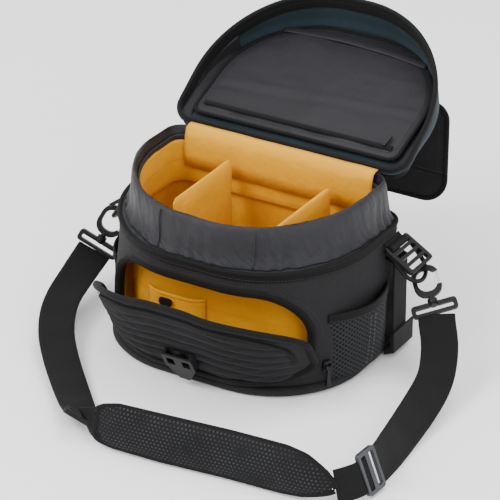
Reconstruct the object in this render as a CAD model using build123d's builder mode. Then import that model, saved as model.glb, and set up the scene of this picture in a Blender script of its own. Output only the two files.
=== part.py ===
from build123d import *
from math import cos, radians, sin
import os

# Camera shoulder bag, open: D-shaped padded body with a soft collar, a padded lid thrown back
# on its rear hinge, a front pocket whose panel has dropped forward, and the shoulder strap
# lying round the front. Millimetres. The origin is the middle of the underside of the base,
# +X to the bag's right-hand side as it faces the reader, +Y to its back, +Z up.

# --- Body ---
BASE_H = 10.0            # stiffened base board with its cover
SEAM_Z = 142.0           # seam between the body and the collar, where the lid's zip is sewn
WALL = 7.0               # padded wall
HALF_W = 140.0           # half the body's width
FRONT_Y = -95.0
BACK_Y = 92.0
FRONT_R = 108.0          # broad round front corners
BACK_R = 26.0
PANEL_GAP = 0.6          # air between the body wall and the pocket panel
PANEL_T = 7.0

# --- Collar ---
COLLAR_TOP = 190.0
COLLAR_T = 10.0
COLLAR_HALF = 134.5
COLLAR_FRONT = -89.0
COLLAR_BACK = 86.0
COLLAR_R = 122.0         # rounder than the body below

# --- Lining and dividers ---
LINING_T = 4.0
TUB_FRONT = -54.0        # wall between the main compartment and the front pocket
TUB_R = 75.0
SHELF_Z = 122.0          # roof of the front pocket
LINING_TOP = 182.0
DIVIDER_T = 10.0
DIVIDER_TOP = 176.0
DIVIDER_X = (-52.0, 66.0)

# --- Front pocket ---
OPENING_HALF = 120.0
OPENING_Z = (26.0, 117.0)
PANEL_HALF = 124.0
PANEL_PIVOT_Y = -99.0
PANEL_PIVOT_Z = 14.0
PANEL_H = 112.0
PANEL_TILT = 28.0        # how far the panel has dropped forward
BINDING_W = 9.0

# --- Lid ---
HINGE_Y = 88.0
HINGE_Z = 192.0
LID_TILT = 159.0         # opening angle from closed
LID_HALF = 138.5
LID_FRONT = -93.5
LID_T = 2.5
LID_CROWN = 7.0          # height of the lid's top above the hinge
LID_DROP = 44.0          # drop of the skirt below the hinge, at the front
LID_R = 126.5

# --- Weather flap over the lid's zip ---
FLAP_HALF = 134.0
FLAP_AT = 110.0          # distance of its seam from the lid's hinge
FLAP_L = 78.0
FLAP_EDGE_L = 35.0
FLAP_T = 3.0

# --- Webbing and hardware ---
WEB_W = 38.0
WEB_T = 2.4
RING_BARS = {"left": (-153.0, 50.0, 117.0), "right": (148.0, 62.0, 125.0)}
BAR_R = 2.0              # round bar that each ring swings on
BOW_R = 2.3
BOW_L = 44.0
HOOK_T = 5.2
POST_R = 3.0             # swivel post under each snap hook
POST_GAP = 0.05


def d_plan(half, front, back, front_r, back_r):
    """D-shaped plan: broad round corners at the front, tight ones at the back."""
    with BuildSketch(mode=Mode.PRIVATE) as plan:
        with Locations((0, (front + back) / 2)):
            Rectangle(2 * half, back - front)
        fillet(plan.vertices().group_by(Axis.Y)[0], front_r)
        fillet(plan.vertices().group_by(Axis.Y)[-1], back_r)
    return plan.sketch


def arch_plan(half, low, high, top_r, low_r):
    """Upright opening with broad round upper corners."""
    with BuildSketch(mode=Mode.PRIVATE) as plan:
        with Locations((0, (low + high) / 2)):
            Rectangle(2 * half, high - low)
        fillet(plan.vertices().group_by(Axis.Y)[-1], top_r)
        fillet(plan.vertices().group_by(Axis.Y)[0], low_r)
    return plan.sketch


def level(pivot_y, pivot_z, tilt, y=0.0, z=0.0):
    """Horizontal plane of a piece swung back by tilt about an X axis through the pivot."""
    c, s = cos(radians(tilt)), sin(radians(tilt))
    origin = (0, pivot_y + y * c + z * s, pivot_z - y * s + z * c)
    return Plane(origin=origin, x_dir=(1, 0, 0), z_dir=(0, s, c))


def upright(pivot_y, pivot_z, tilt, y=0.0, z=0.0):
    """Upright plane of the same piece, facing its front: local x is +X, local y its height."""
    flat = level(pivot_y, pivot_z, tilt, y, z)
    return Plane(origin=flat.origin, x_dir=(1, 0, 0), z_dir=-flat.y_dir)


def side(pivot_y, pivot_z, tilt):
    """Section plane of the same piece: local x runs to its back, local y up."""
    flat = level(pivot_y, pivot_z, tilt)
    return Plane(origin=flat.origin, x_dir=flat.y_dir, z_dir=(1, 0, 0))


def lid_level(z=0.0):
    return level(HINGE_Y, HINGE_Z, LID_TILT, 0, z)


def panel_upright(y=0.0):
    return upright(PANEL_PIVOT_Y, PANEL_PIVOT_Z, -PANEL_TILT, y)


def save(piece, label):
    piece.label = label
    export_step(piece, f"parts/{label}.step")


os.makedirs("parts", exist_ok=True)

wall_outer = d_plan(HALF_W, FRONT_Y, BACK_Y, FRONT_R, BACK_R)
wall_inner = d_plan(HALF_W - WALL, FRONT_Y + WALL, BACK_Y - WALL, FRONT_R - WALL, BACK_R - WALL)
tub_outer = d_plan(HALF_W - WALL, TUB_FRONT, BACK_Y - WALL, TUB_R, BACK_R - WALL)
tub_inner = d_plan(
    HALF_W - WALL - LINING_T,
    TUB_FRONT + LINING_T,
    BACK_Y - WALL - LINING_T,
    TUB_R - LINING_T,
    BACK_R - WALL - LINING_T,
)


def collar_plan(inset):
    return d_plan(
        COLLAR_HALF - inset,
        COLLAR_FRONT + inset,
        COLLAR_BACK - inset,
        COLLAR_R - inset,
        22 - inset,
    )


collar_outer = collar_plan(0)
collar_inner = collar_plan(COLLAR_T)
upper_inner = collar_plan(COLLAR_T + LINING_T)

# ---------------------------------------------------------------- body

with BuildPart() as base_panel:
    with BuildSketch(Plane.XY):
        add(d_plan(HALF_W + 3, FRONT_Y - 6, BACK_Y + 4, FRONT_R - 6, BACK_R + 2))
    extrude(amount=BASE_H)
    fillet(base_panel.edges().group_by(Axis.Z)[0], 4)
save(base_panel.part, "base_panel")

with BuildPart() as body_wall:
    with BuildSketch(Plane.XY.offset(BASE_H)):
        add(wall_outer)
        add(wall_inner, mode=Mode.SUBTRACT)
    extrude(amount=SEAM_Z - BASE_H)
    with BuildSketch(Plane.XZ.offset(10)):
        add(arch_plan(OPENING_HALF, *OPENING_Z, 54, 10))
    extrude(amount=120, mode=Mode.SUBTRACT)
save(body_wall.part, "body_wall")

with BuildPart() as back_panel:
    with BuildSketch(Plane.XZ.offset(-BACK_Y)):
        add(arch_plan(HALF_W - BACK_R - 4, BASE_H + 6, 132, 16, 10))
    extrude(amount=-4)
save(back_panel.part, "back_panel")

with BuildPart() as seam_zip:
    with BuildSketch(Plane.XY.offset(SEAM_Z)):
        add(d_plan(HALF_W + 1.5, FRONT_Y - 1.5, BACK_Y + 1.5, FRONT_R + 1, BACK_R + 1))
        add(collar_inner, mode=Mode.SUBTRACT)
    extrude(amount=2.5)
save(seam_zip.part, "seam_zip")

with BuildPart() as collar:
    with BuildSketch(Plane.XY.offset(SEAM_Z + 2.5)):
        add(collar_outer)
        add(collar_inner, mode=Mode.SUBTRACT)
    extrude(amount=COLLAR_TOP - SEAM_Z - 2.5)
    fillet(collar.edges().group_by(Axis.Z)[-1], 4)
save(collar.part, "collar")

# ---------------------------------------------------------------- lining

with BuildPart() as lining_tub:
    with BuildSketch(Plane.XY.offset(BASE_H)):
        add(tub_outer)
    extrude(amount=SHELF_Z - BASE_H)
    with BuildSketch(Plane.XY.offset(BASE_H + LINING_T)):
        add(tub_inner)
    extrude(amount=SHELF_Z - BASE_H, mode=Mode.SUBTRACT)
save(lining_tub.part, "lining_tub")

with BuildPart() as lining_shelf:
    with BuildSketch(Plane.XY.offset(SHELF_Z)):
        add(wall_inner)
        add(tub_inner, mode=Mode.SUBTRACT)
    extrude(amount=LINING_T)
save(lining_shelf.part, "lining_shelf")

with BuildPart() as lining_upper:
    with BuildSketch(Plane.XY.offset(SHELF_Z + LINING_T)):
        add(collar_inner)
        add(upper_inner, mode=Mode.SUBTRACT)
    extrude(amount=LINING_TOP - SHELF_Z - LINING_T)
save(lining_upper.part, "lining_upper")

# Padded dividers: each stands on the tub's floor, with a step over the shelf.
divider_back = COLLAR_BACK - COLLAR_T - LINING_T - 3
divider_low_front = TUB_FRONT + 14
divider_high_front = COLLAR_FRONT + 38
for side_name, x in zip(("left", "right"), DIVIDER_X):
    with BuildPart() as divider:
        with BuildSketch(Plane.YZ.offset(x - DIVIDER_T / 2)):
            with BuildLine():
                Polyline(
                    (divider_back, BASE_H + LINING_T + 0.5),
                    (divider_back, DIVIDER_TOP),
                    (divider_high_front, DIVIDER_TOP),
                    (divider_high_front, SHELF_Z + LINING_T + 0.5),
                    (divider_low_front, SHELF_Z + LINING_T + 0.5),
                    (divider_low_front, BASE_H + LINING_T + 0.5),
                    close=True,
                )
            make_face()
        extrude(amount=DIVIDER_T)
        fillet(divider.edges().filter_by(Axis.Y).group_by(Axis.Z)[-1], 4)
    save(divider.part, f"divider_{side_name}")

# ---------------------------------------------------------------- front pocket

SLEEVE_T = 2.5
with BuildPart() as pocket_lining:
    with BuildSketch(Plane.XY.offset(BASE_H)):
        add(wall_inner)
        add(tub_outer, mode=Mode.SUBTRACT)
    extrude(amount=SHELF_Z - BASE_H)
    with BuildSketch(Plane.XY.offset(BASE_H + SLEEVE_T)):
        add(d_plan(HALF_W + 20, FRONT_Y - 20, BACK_Y, FRONT_R, BACK_R))
        add(
            d_plan(HALF_W - WALL + SLEEVE_T, TUB_FRONT - SLEEVE_T, BACK_Y, TUB_R + SLEEVE_T, 20),
            mode=Mode.SUBTRACT,
        )
    extrude(amount=SHELF_Z - BASE_H - 2 * SLEEVE_T, mode=Mode.SUBTRACT)
    with Locations((0, 100, SHELF_Z / 2)):
        Box(400, 200, 200, mode=Mode.SUBTRACT)
save(pocket_lining.part, "pocket_lining")

# Low sleeve sewn across the pocket's back wall, with its pull tab.
with BuildPart() as pocket_sleeve:
    with BuildSketch(Plane.XZ.offset(-TUB_FRONT + SLEEVE_T + 9)):
        with Locations((-42, BASE_H + SLEEVE_T + 30)):
            Rectangle(70, 60)
        fillet(vertices().group_by(Axis.Y)[-1], 10)
    extrude(amount=2)
    with BuildSketch(Plane.XY.offset(BASE_H + SLEEVE_T)):
        for x in (-76, -8):
            with Locations((x, TUB_FRONT - SLEEVE_T - 4.5)):
                Rectangle(2, 9)
    extrude(amount=50)
save(pocket_sleeve.part, "pocket_sleeve")

with BuildPart() as sleeve_tab:
    with BuildSketch(Plane.XZ.offset(-TUB_FRONT + SLEEVE_T + 11)):
        with Locations((-50, 64)):
            RectangleRounded(16, 9, 4)
    extrude(amount=2)
save(sleeve_tab.part, "sleeve_tab")

# Bound zip tape round the opening, let into the wall's outer face.
with BuildPart() as pocket_binding:
    with BuildSketch(Plane.XY.offset(BASE_H)):
        add(wall_outer)
        add(wall_inner, mode=Mode.SUBTRACT)
    extrude(amount=SEAM_Z - BASE_H)
    with BuildSketch(Plane.XZ.offset(10)):
        add(arch_plan(OPENING_HALF, *OPENING_Z, 54, 10))
        add(
            arch_plan(OPENING_HALF - 7, OPENING_Z[0] + 6, OPENING_Z[1] - 7, 47, 6),
            mode=Mode.SUBTRACT,
        )
    extrude(amount=120, mode=Mode.INTERSECT)
save(pocket_binding.part, "pocket_binding")

# The panel is a curved shell just outside the wall; its own frame has the pivot as origin.
def panel_band(outset):
    return d_plan(
        HALF_W + outset,
        FRONT_Y - outset - PANEL_PIVOT_Y,
        BACK_Y - PANEL_PIVOT_Y,
        FRONT_R + outset,
        BACK_R,
    )


def panel_blank(sketch_plane):
    with BuildPart(mode=Mode.PRIVATE) as blank:
        with BuildSketch(sketch_plane):
            add(panel_band(PANEL_GAP + PANEL_T))
            add(panel_band(PANEL_GAP), mode=Mode.SUBTRACT)
        extrude(amount=PANEL_H)
    return blank.part


panel_floor = level(PANEL_PIVOT_Y, PANEL_PIVOT_Z, -PANEL_TILT)
field = arch_plan(PANEL_HALF - BINDING_W, 4, PANEL_H - BINDING_W, 55, 14)

with BuildPart() as panel_shell:
    add(panel_blank(panel_floor))
    with BuildSketch(panel_upright(70)):
        add(field)
    extrude(amount=110, mode=Mode.INTERSECT)
save(panel_shell.part, "panel_shell")

with BuildPart() as panel_binding:
    add(panel_blank(panel_floor))
    with BuildSketch(panel_upright(70)):
        add(arch_plan(PANEL_HALF, 0, PANEL_H, 62, 18))
        add(field, mode=Mode.SUBTRACT)
    extrude(amount=110, mode=Mode.INTERSECT)
save(panel_binding.part, "panel_binding")

# Receiver of the front buckle: a shield with a pocket for three prongs.
RECEIVER_W = 36.0
RECEIVER_Z = (0.5, 38.5)
receiver_face = FRONT_Y - PANEL_GAP - PANEL_T - PANEL_PIVOT_Y
with BuildPart() as buckle_receiver:
    with BuildSketch(panel_upright(receiver_face)):
        with BuildLine():
            Polyline(
                (-RECEIVER_W / 2, RECEIVER_Z[1]),
                (RECEIVER_W / 2, RECEIVER_Z[1]),
                (RECEIVER_W / 2, RECEIVER_Z[1] - 18),
                (6, RECEIVER_Z[0]),
                (-6, RECEIVER_Z[0]),
                (-RECEIVER_W / 2, RECEIVER_Z[1] - 18),
                close=True,
            )
        make_face()
        fillet(vertices(), 3)
    extrude(amount=9.5)
    with BuildSketch(panel_upright(receiver_face - 2)):
        with Locations((0, RECEIVER_Z[1] - 8)):
            Rectangle(28, 30)
    extrude(amount=5.5, mode=Mode.SUBTRACT)
    with BuildSketch(panel_upright(receiver_face - 7)):
        for x in (-9, 9):
            with Locations((x, RECEIVER_Z[1] - 10)):
                RectangleRounded(9, 10, 1.5)
    extrude(amount=4, mode=Mode.SUBTRACT)
save(buckle_receiver.part, "buckle_receiver")

# Slider and puller of the pocket's zip, at the lower right end of the opening.
SLIDER_X, SLIDER_Y, SLIDER_Z = 126.5, -45.5, 30.0
slider_dir = Vector(0.885, -0.465, 0)
slider_plane = Plane(origin=(SLIDER_X, SLIDER_Y, SLIDER_Z), x_dir=(0.465, 0.885, 0), z_dir=slider_dir)
with BuildPart() as pocket_slider:
    with BuildSketch(slider_plane):
        RectangleRounded(9, 12, 2)
    extrude(amount=4)
    with BuildSketch(slider_plane.offset(4)):
        with Locations((-2.6, 0), (2.6, 0)):
            Rectangle(1.6, 5)
    extrude(amount=3)
save(pocket_slider.part, "pocket_slider")


def zip_puller(plane, length, label):
    """Flat pull tab hanging from the pivot along the plane's local -y, with a round eye."""
    with BuildPart() as puller:
        with BuildSketch(plane.offset(-0.9)):
            with BuildLine():
                Polyline((-1.3, 0), (1.3, 0), (2.6, -length), (-2.6, -length), close=True)
            make_face()
            fillet(vertices().group_by(Axis.Y)[0], 2)
        extrude(amount=1.8)
        with Locations(Plane(origin=plane.origin, x_dir=plane.y_dir, z_dir=plane.x_dir)):
            Cylinder(1.3, 2.6)
    save(puller.part, label)


zip_puller(slider_plane.offset(5.6), 22, "pocket_puller")

# ---------------------------------------------------------------- mesh side pockets

MESH_TOP = 84.0
MESH_T = 1.6
MESH_BAND_H = 9.0


def mesh_area(out, sign):
    """Plan between the side wall and the pocket's bulging skin."""
    with BuildSketch(mode=Mode.PRIVATE) as plan:
        with BuildLine():
            ThreePointArc(
                (sign * (126 + out), -42 - out / 2), (sign * (152 + out), 8), (sign * (139 + out), 58)
            )
            Line((sign * (139 + out), 58), (sign * 100, 58))
            Line((sign * 100, 58), (sign * 100, -42 - out / 2))
            Line((sign * 100, -42 - out / 2), (sign * (126 + out), -42 - out / 2))
        make_face()
        add(wall_outer, mode=Mode.SUBTRACT)
    return plan.sketch


for side_name, sign in (("left", -1), ("right", 1)):
    with BuildPart() as mesh_pocket:
        with BuildSketch(Plane.XY.offset(BASE_H)):
            add(mesh_area(0, sign))
        extrude(amount=MESH_TOP - MESH_BAND_H - BASE_H)
        with BuildSketch(Plane.XY.offset(BASE_H + 2)):
            add(mesh_area(-MESH_T, sign))
        extrude(amount=MESH_TOP, mode=Mode.SUBTRACT)
    save(mesh_pocket.part, f"mesh_pocket_{side_name}")

    with BuildPart() as mesh_band:
        with BuildSketch(Plane.XY.offset(MESH_TOP - MESH_BAND_H)):
            add(mesh_area(0, sign))
            add(mesh_area(-MESH_T, sign), mode=Mode.SUBTRACT)
        extrude(amount=MESH_BAND_H)
    save(mesh_band.part, f"mesh_band_{side_name}")

# ---------------------------------------------------------------- side webbing

TAB_Y = 68.0
for side_name, sign in (("left", -1), ("right", 1)):
    with BuildPart() as side_web:
        with BuildSketch(Plane.XZ.offset(-(TAB_Y - WEB_W / 2))):
            with BuildLine():
                Polyline(
                    (sign * 140, 112),
                    (sign * 150, 108),
                    (sign * 150, 26),
                    (sign * (150 + WEB_T), 26),
                    (sign * (150 + WEB_T), 110),
                    (sign * 140, 114.6),
                    close=True,
                )
            make_face()
        extrude(amount=-min(WEB_W, BACK_Y - BACK_R + 12 - TAB_Y + WEB_W / 2))
    save(side_web.part, f"side_web_{side_name}")

    with BuildPart() as side_patch:
        with BuildSketch(Plane.XZ.offset(-(TAB_Y - 21))):
            with BuildLine():
                Polyline(
                    (sign * 143, 1),
                    (sign * 155, 6),
                    (sign * 155, 30),
                    (sign * (150 + WEB_T), 30),
                    (sign * (150 + WEB_T), 26),
                    (sign * 150, 26),
                    (sign * 150, 10),
                    (sign * 143, 7),
                    close=True,
                )
            make_face()
        extrude(amount=-42)
    save(side_patch.part, f"side_patch_{side_name}")

# ---------------------------------------------------------------- rings on the sides

def ring_frames(side_name):
    """Plate and bow planes of a side ring: local x runs outwards, local y along the bar."""
    origin = Vector(*RING_BARS[side_name])
    if side_name == "right":
        bar = Vector(0, 1, 0)
        bow = Vector(0.68, 0, -0.733)
        plate = Vector(0.857, 0, -0.515)
    else:
        bow = Vector(-0.583, -0.3125, -0.75).normalized()
        bar = (Vector(0, 1, 0) - bow * bow.dot(Vector(0, 1, 0))).normalized()
        plate = bow.rotate(Axis((0, 0, 0), tuple(bar)), 16)
    return (
        Plane(origin=origin, x_dir=plate, z_dir=plate.cross(bar)),
        Plane(origin=origin, x_dir=bow, z_dir=bow.cross(bar)),
    )


PLATE_W = 46.0
ARM_L = BOW_L - 20.0
for side_name, sign in (("left", -1), ("right", 1)):
    plate_plane, bow_plane = ring_frames(side_name)
    origin = plate_plane.origin
    with BuildPart() as ring:
        with BuildSketch(plate_plane.offset(-2)):
            with Locations((15, 0)):
                RectangleRounded(38, PLATE_W, 4)
            with Locations((-0.5, 0)):
                Rectangle(11, 37, mode=Mode.SUBTRACT)
            with Locations((11, 0), (19.5, 0), (28, 0)):
                RectangleRounded(5, 35, 1.5, mode=Mode.SUBTRACT)
        extrude(amount=4)
        with Locations(Plane(origin=origin, x_dir=plate_plane.x_dir, z_dir=plate_plane.y_dir)):
            Cylinder(BAR_R, 40)
        with BuildLine(bow_plane) as bow_line:
            Line((0, -20), (ARM_L, -20))
            ThreePointArc((ARM_L, -20), (BOW_L, 0), (ARM_L, 20))
            Line((ARM_L, 20), (0, 20))
        with BuildSketch(Plane(origin=bow_line.line @ 0, z_dir=bow_line.line % 0)):
            Circle(BOW_R)
        sweep(path=bow_line.line, transition=Transition.ROUND)
    save(ring.part, f"ring_{side_name}")

    # The webbing tab runs from the wall to the eye that the bar turns in.
    bar_plane = Plane(origin=origin, x_dir=(sign, 0, 0), z_dir=plate_plane.y_dir)
    with BuildPart() as ring_web:
        with Locations(bar_plane):
            Cylinder(BAR_R + 2.2, 33)
        with BuildSketch(
            Plane(origin=(sign * HALF_W, origin.Y, origin.Z + 6), x_dir=(0, 1, 0), z_dir=(sign, 0, 0))
        ):
            Rectangle(33, WEB_T)
        with BuildSketch(
            Plane(
                origin=origin + Vector(-3.2 * sign, 0, 1.5),
                x_dir=plate_plane.y_dir,
                z_dir=(sign, 0, 0),
            )
        ):
            Rectangle(33, WEB_T)
        loft()
        with Locations(bar_plane):
            Cylinder(BAR_R + 0.3, 40, mode=Mode.SUBTRACT)
    save(ring_web.part, f"ring_web_{side_name}")

# ---------------------------------------------------------------- snap hooks on the strap

HOOKS = {
    "right": {
        "centre": Vector(183, 62, 91),
        "across": Vector(0.774, 0.588, 0.226),
        "down": Vector(0.6, -0.52, -0.61),
    },
    "left": {
        "centre": Vector(-181.6, 33.3, 77.2),
        "across": Vector(0.894, 0.254, -0.37),
        "down": Vector(-0.36, -0.38, -0.85),
    },
}
FRAME_END = 36.0         # from the hook's middle to the far edge of its webbing frame


def hook_plane(side_name):
    hook = HOOKS[side_name]
    up = (hook["down"] * -1).normalized()
    across = (hook["across"] - up * up.dot(hook["across"])).normalized()
    return Plane(origin=hook["centre"], x_dir=across, z_dir=across.cross(up))


def hook_point(side_name, p, q):
    plane = hook_plane(side_name)
    return plane.origin + plane.x_dir * p + plane.y_dir * q


for side_name in HOOKS:
    plane = hook_plane(side_name)
    stem = Plane(origin=hook_point(side_name, 0, -14), x_dir=plane.x_dir, z_dir=plane.y_dir * -1)
    with BuildPart() as hook:
        with BuildSketch(plane.offset(-HOOK_T / 2)):
            with Locations((0, 0.5)):
                RectangleRounded(29, 35, 13)
            with Locations((0, 1)):
                RectangleRounded(20, 24, 9, mode=Mode.SUBTRACT)
            with Locations((12, 2)):
                Rectangle(12, 15, mode=Mode.SUBTRACT)
        extrude(amount=HOOK_T)
        with Locations(stem.offset(6)):
            Cylinder(POST_R, 12)
        with Locations(stem.offset(12.2)):
            Cylinder(POST_R + 1.4, 2)
    save(hook.part, f"hook_{side_name}")

    with BuildPart() as gate:
        with BuildSketch(plane.offset(-1.2)):
            with Locations((12.2, 2)):
                RectangleRounded(2.4, 14, 1.1)
        extrude(amount=2.4)
    save(gate.part, f"gate_{side_name}")

    with BuildPart() as hook_frame:
        with BuildSketch(plane.offset(-2.4)):
            with Locations((0, 6.5 - FRAME_END)):
                RectangleRounded(48, 13, 4)
            with Locations((0, 6 - FRAME_END)):
                RectangleRounded(WEB_W + 1.6, 5, 1.5, mode=Mode.SUBTRACT)
        extrude(amount=4.8)
        with Locations(stem.offset(8)):
            Cylinder(5.2, 5)
        with Locations(stem.offset(8)):
            Cylinder(POST_R + POST_GAP, 7, mode=Mode.SUBTRACT)
        with Locations(stem.offset(13)):
            Cylinder(POST_R + 1.9, 5, mode=Mode.SUBTRACT)
    save(hook_frame.part, f"hook_frame_{side_name}")

# ---------------------------------------------------------------- shoulder strap

# Each stretch is a list of centre points with the direction of the webbing's width there.
STRAP_RIGHT = [
    ((204.8, 43, 68.8), (0.774, 0.588, 0.226)),
    ((208, 38, 62), (0.86, 0.5, 0.12)),
    ((216, 29, 51), (0.9, 0.43, 0)),
    ((224, 15, 40), (0.91, 0.38, -0.15)),
    ((235, -14, 29), (0.84, 0.3, -0.45)),
    ((240, -51, 22), (0.82, 0.17, -0.55)),
    ((245, -95, 18.5), (0.68, 0.1, -0.72)),
    ((252, -142, 19), (0.55, 0.03, -0.83)),
    ((256, -176, 20.5), (0.38, 0, -0.92)),
]
STRAP_SHORT = [
    ((255.5, -201, 21.5), (0.36, -0.05, -0.93)),
    ((250, -213, 20.5), (0.3, -0.15, -0.94)),
    ((239.5, -226.5, 19.5), (0.2, -0.25, -0.95)),
]
STRAP_TAIL = [
    ((-15, -249, 23.5), (0.03, -0.32, -0.94)),
    ((-23, -247.5, 21), (0.3, -0.2, -0.92)),
    ((-31, -245, 18.5), (0.6, 0, -0.75)),
]
STRAP_LEFT = [
    ((-47, -231, 13), (0.84, 0.4, -0.36)),
    ((-60, -217, 11), (0.76, 0.6, -0.24)),
    ((-87, -189, 9), (0.7, 0.7, -0.14)),
    ((-127, -148, 12), (0.74, 0.67, -0.07)),
    ((-159, -111, 19), (0.83, 0.55, -0.08)),
    ((-182, -68, 27), (0.95, 0.31, -0.08)),
    ((-191, -20, 35), (0.96, 0.2, -0.2)),
    ((-195, 19, 45.8), (0.894, 0.254, -0.37)),
]
PAD_LINE = [
    ((237, -229, 19.5), 16),
    ((224, -231, 23), 28),
    ((208, -231.5, 25), 44),
    ((186, -232, 25.5), 50),
    ((128, -236, 25.5), 50),
    ((58, -244, 25.5), 50),
    ((6, -248, 25.5), 48),
    ((-16, -249, 24), 36),
]


def tangents(points):
    """Direction of travel at each point of a route."""
    found = []
    for i in range(len(points)):
        before = Vector(points[max(i - 1, 0)])
        after = Vector(points[min(i + 1, len(points) - 1)])
        found.append((after - before).normalized())
    return found


def ribbon(stations, label, thickness=WEB_T):
    """Flat webbing through a list of stations, each with its own width direction and width."""
    headings = tangents([station[0] for station in stations])
    with BuildPart() as web:
        for (centre, across, width), heading in zip(stations, headings):
            flat = Vector(across) - heading * heading.dot(Vector(across))
            with BuildSketch(Plane(origin=centre, x_dir=flat.normalized(), z_dir=heading)):
                Rectangle(width, thickness)
        loft(ruled=True)
    save(web.part, label)


ribbon([(centre, across, WEB_W) for centre, across in STRAP_RIGHT], "strap_web_right")
ribbon([(centre, across, 34) for centre, across in STRAP_SHORT], "strap_web_short")
ribbon([(centre, across, WEB_W) for centre, across in STRAP_LEFT], "strap_web_left")
ribbon([(centre, across, 30) for centre, across in STRAP_TAIL], "strap_web_tail")
ribbon([(centre, (0.03, -0.32, -0.94), width) for centre, width in PAD_LINE], "shoulder_pad", 9.0)

# Three-bar adjuster on the right, where the webbing stands on its edge.
glide_plane = Plane(origin=(256, -188.5, 22.8), x_dir=(0.36, 0, -0.93), z_dir=(0.925, -0.1, 0.358))
with BuildPart() as strap_glide:
    with BuildSketch(glide_plane.offset(-2.2)):
        RectangleRounded(44, 27, 4)
        with Locations((0, 6.4), (0, -6.4)):
            RectangleRounded(36, 7, 1.5, mode=Mode.SUBTRACT)
    extrude(amount=4.4)
save(strap_glide.part, "strap_glide")

# Ladder adjuster between the left webbing and the pad.
ADJUSTER_ACROSS = Vector(0.86, 0.24, -0.45).normalized()
ADJUSTER_ALONG = Vector(0.62, -0.72, 0.3).normalized()
adjuster_plane = Plane(
    origin=(-38, -240, 16), x_dir=ADJUSTER_ACROSS, z_dir=ADJUSTER_ACROSS.cross(ADJUSTER_ALONG)
)
with BuildPart() as strap_adjuster:
    with BuildSketch(adjuster_plane.offset(-2.5)):
        RectangleRounded(42, 26, 4)
        with Locations((0, -6), (0, 3)):
            RectangleRounded(34, 4.6, 1.5, mode=Mode.SUBTRACT)
    extrude(amount=5)
save(strap_adjuster.part, "strap_adjuster")

# ---------------------------------------------------------------- lid

def lid_plan(inset):
    """Lid plan in its own frame, whose origin is the hinge line."""
    return d_plan(
        LID_HALF - inset, LID_FRONT - HINGE_Y + inset, -inset * 0.5, LID_R - inset, 20 - inset
    )


lid_side = side(HINGE_Y, HINGE_Z, LID_TILT)
lid_reach = LID_FRONT - HINGE_Y
BINDING_H = 6.0


def below_rim(drop):
    """Everything under a slanted plane from the hinge to the skirt's front edge."""
    with BuildPart(mode=Mode.PRIVATE) as wedge:
        with BuildSketch(lid_side):
            with BuildLine():
                Polyline(
                    (20, drop + 20 * LID_DROP / -lid_reach),
                    (lid_reach * 1.2, drop - LID_DROP * 1.2),
                    (lid_reach * 1.2, -150),
                    (20, -150),
                    close=True,
                )
            make_face()
        extrude(amount=200, both=True)
    return wedge.part


with BuildPart() as lid_shell:
    with BuildSketch(lid_level(-LID_DROP - 12)):
        add(lid_plan(0))
    extrude(amount=LID_DROP + 12 + LID_CROWN)
    fillet(lid_shell.faces().sort_by(Axis(lid_side.origin, lid_side.y_dir))[-1].edges(), 6)
    with BuildSketch(lid_level(-LID_DROP - 12)):
        add(lid_plan(LID_T))
    extrude(amount=LID_DROP + 12 + LID_CROWN - LID_T, mode=Mode.SUBTRACT)
    add(below_rim(BINDING_H), mode=Mode.SUBTRACT)
save(lid_shell.part, "lid_shell")

with BuildPart() as lid_binding:
    with BuildSketch(lid_level(-LID_DROP - 12)):
        add(lid_plan(-0.8))
        add(lid_plan(LID_T + 0.4), mode=Mode.SUBTRACT)
    extrude(amount=LID_DROP + 12 + 1.5)
    add(below_rim(0), mode=Mode.SUBTRACT)
    add(below_rim(BINDING_H), mode=Mode.INTERSECT)
save(lid_binding.part, "lid_binding")

LID_PAD_Z = -1.5
with BuildPart() as lid_lining:
    with BuildSketch(lid_level(LID_PAD_Z)):
        add(d_plan(122, -174, -16, 98, 8))
    extrude(amount=LID_CROWN - LID_T - LID_PAD_Z)
    fillet(lid_lining.faces().sort_by(Axis(lid_side.origin, lid_side.y_dir))[0].edges(), 3)
save(lid_lining.part, "lid_lining")

with BuildPart() as lid_pocket_band:
    with BuildSketch(lid_level(LID_PAD_Z)):
        with Locations((0, -148)):
            Rectangle(120, 9)
    extrude(amount=-1.6)
save(lid_pocket_band.part, "lid_pocket_band")

with BuildPart() as lid_pocket_zip:
    with BuildSketch(lid_level(LID_PAD_Z)):
        with Locations((0, -27)):
            Rectangle(226, 6)
    extrude(amount=-1.6)
save(lid_pocket_zip.part, "lid_pocket_zip")

puller_eye = level(HINGE_Y, HINGE_Z, LID_TILT, -27, LID_PAD_Z - 3.2)
zip_puller(
    Plane(
        origin=puller_eye.origin + Vector(104, 0, 0), x_dir=(1, 0, 0), z_dir=puller_eye.z_dir
    ),
    15,
    "lid_puller",
)

# Fabric hinge: a strip sewn to the collar's back, up to the hinge line.
with BuildPart() as lid_hinge_strip:
    with Locations((0, COLLAR_BACK + 0.8, COLLAR_TOP - 8)):
        Box(224, 1.6, 14)
save(lid_hinge_strip.part, "lid_hinge_strip")

# ---------------------------------------------------------------- weather flap and its buckle

flap_seam = level(HINGE_Y, HINGE_Z, LID_TILT, -FLAP_AT, LID_CROWN + 2.5).origin
FLAP_Y, FLAP_Z = flap_seam.Y, flap_seam.Z

with BuildPart() as weather_flap:
    with BuildSketch(Plane.XZ.offset(-FLAP_Y)):
        with Locations((0, FLAP_Z - FLAP_L / 2 - 0.5)):
            Rectangle(2 * FLAP_HALF, FLAP_L - 1)
    extrude(amount=-FLAP_T)
save(weather_flap.part, "weather_flap")

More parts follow.
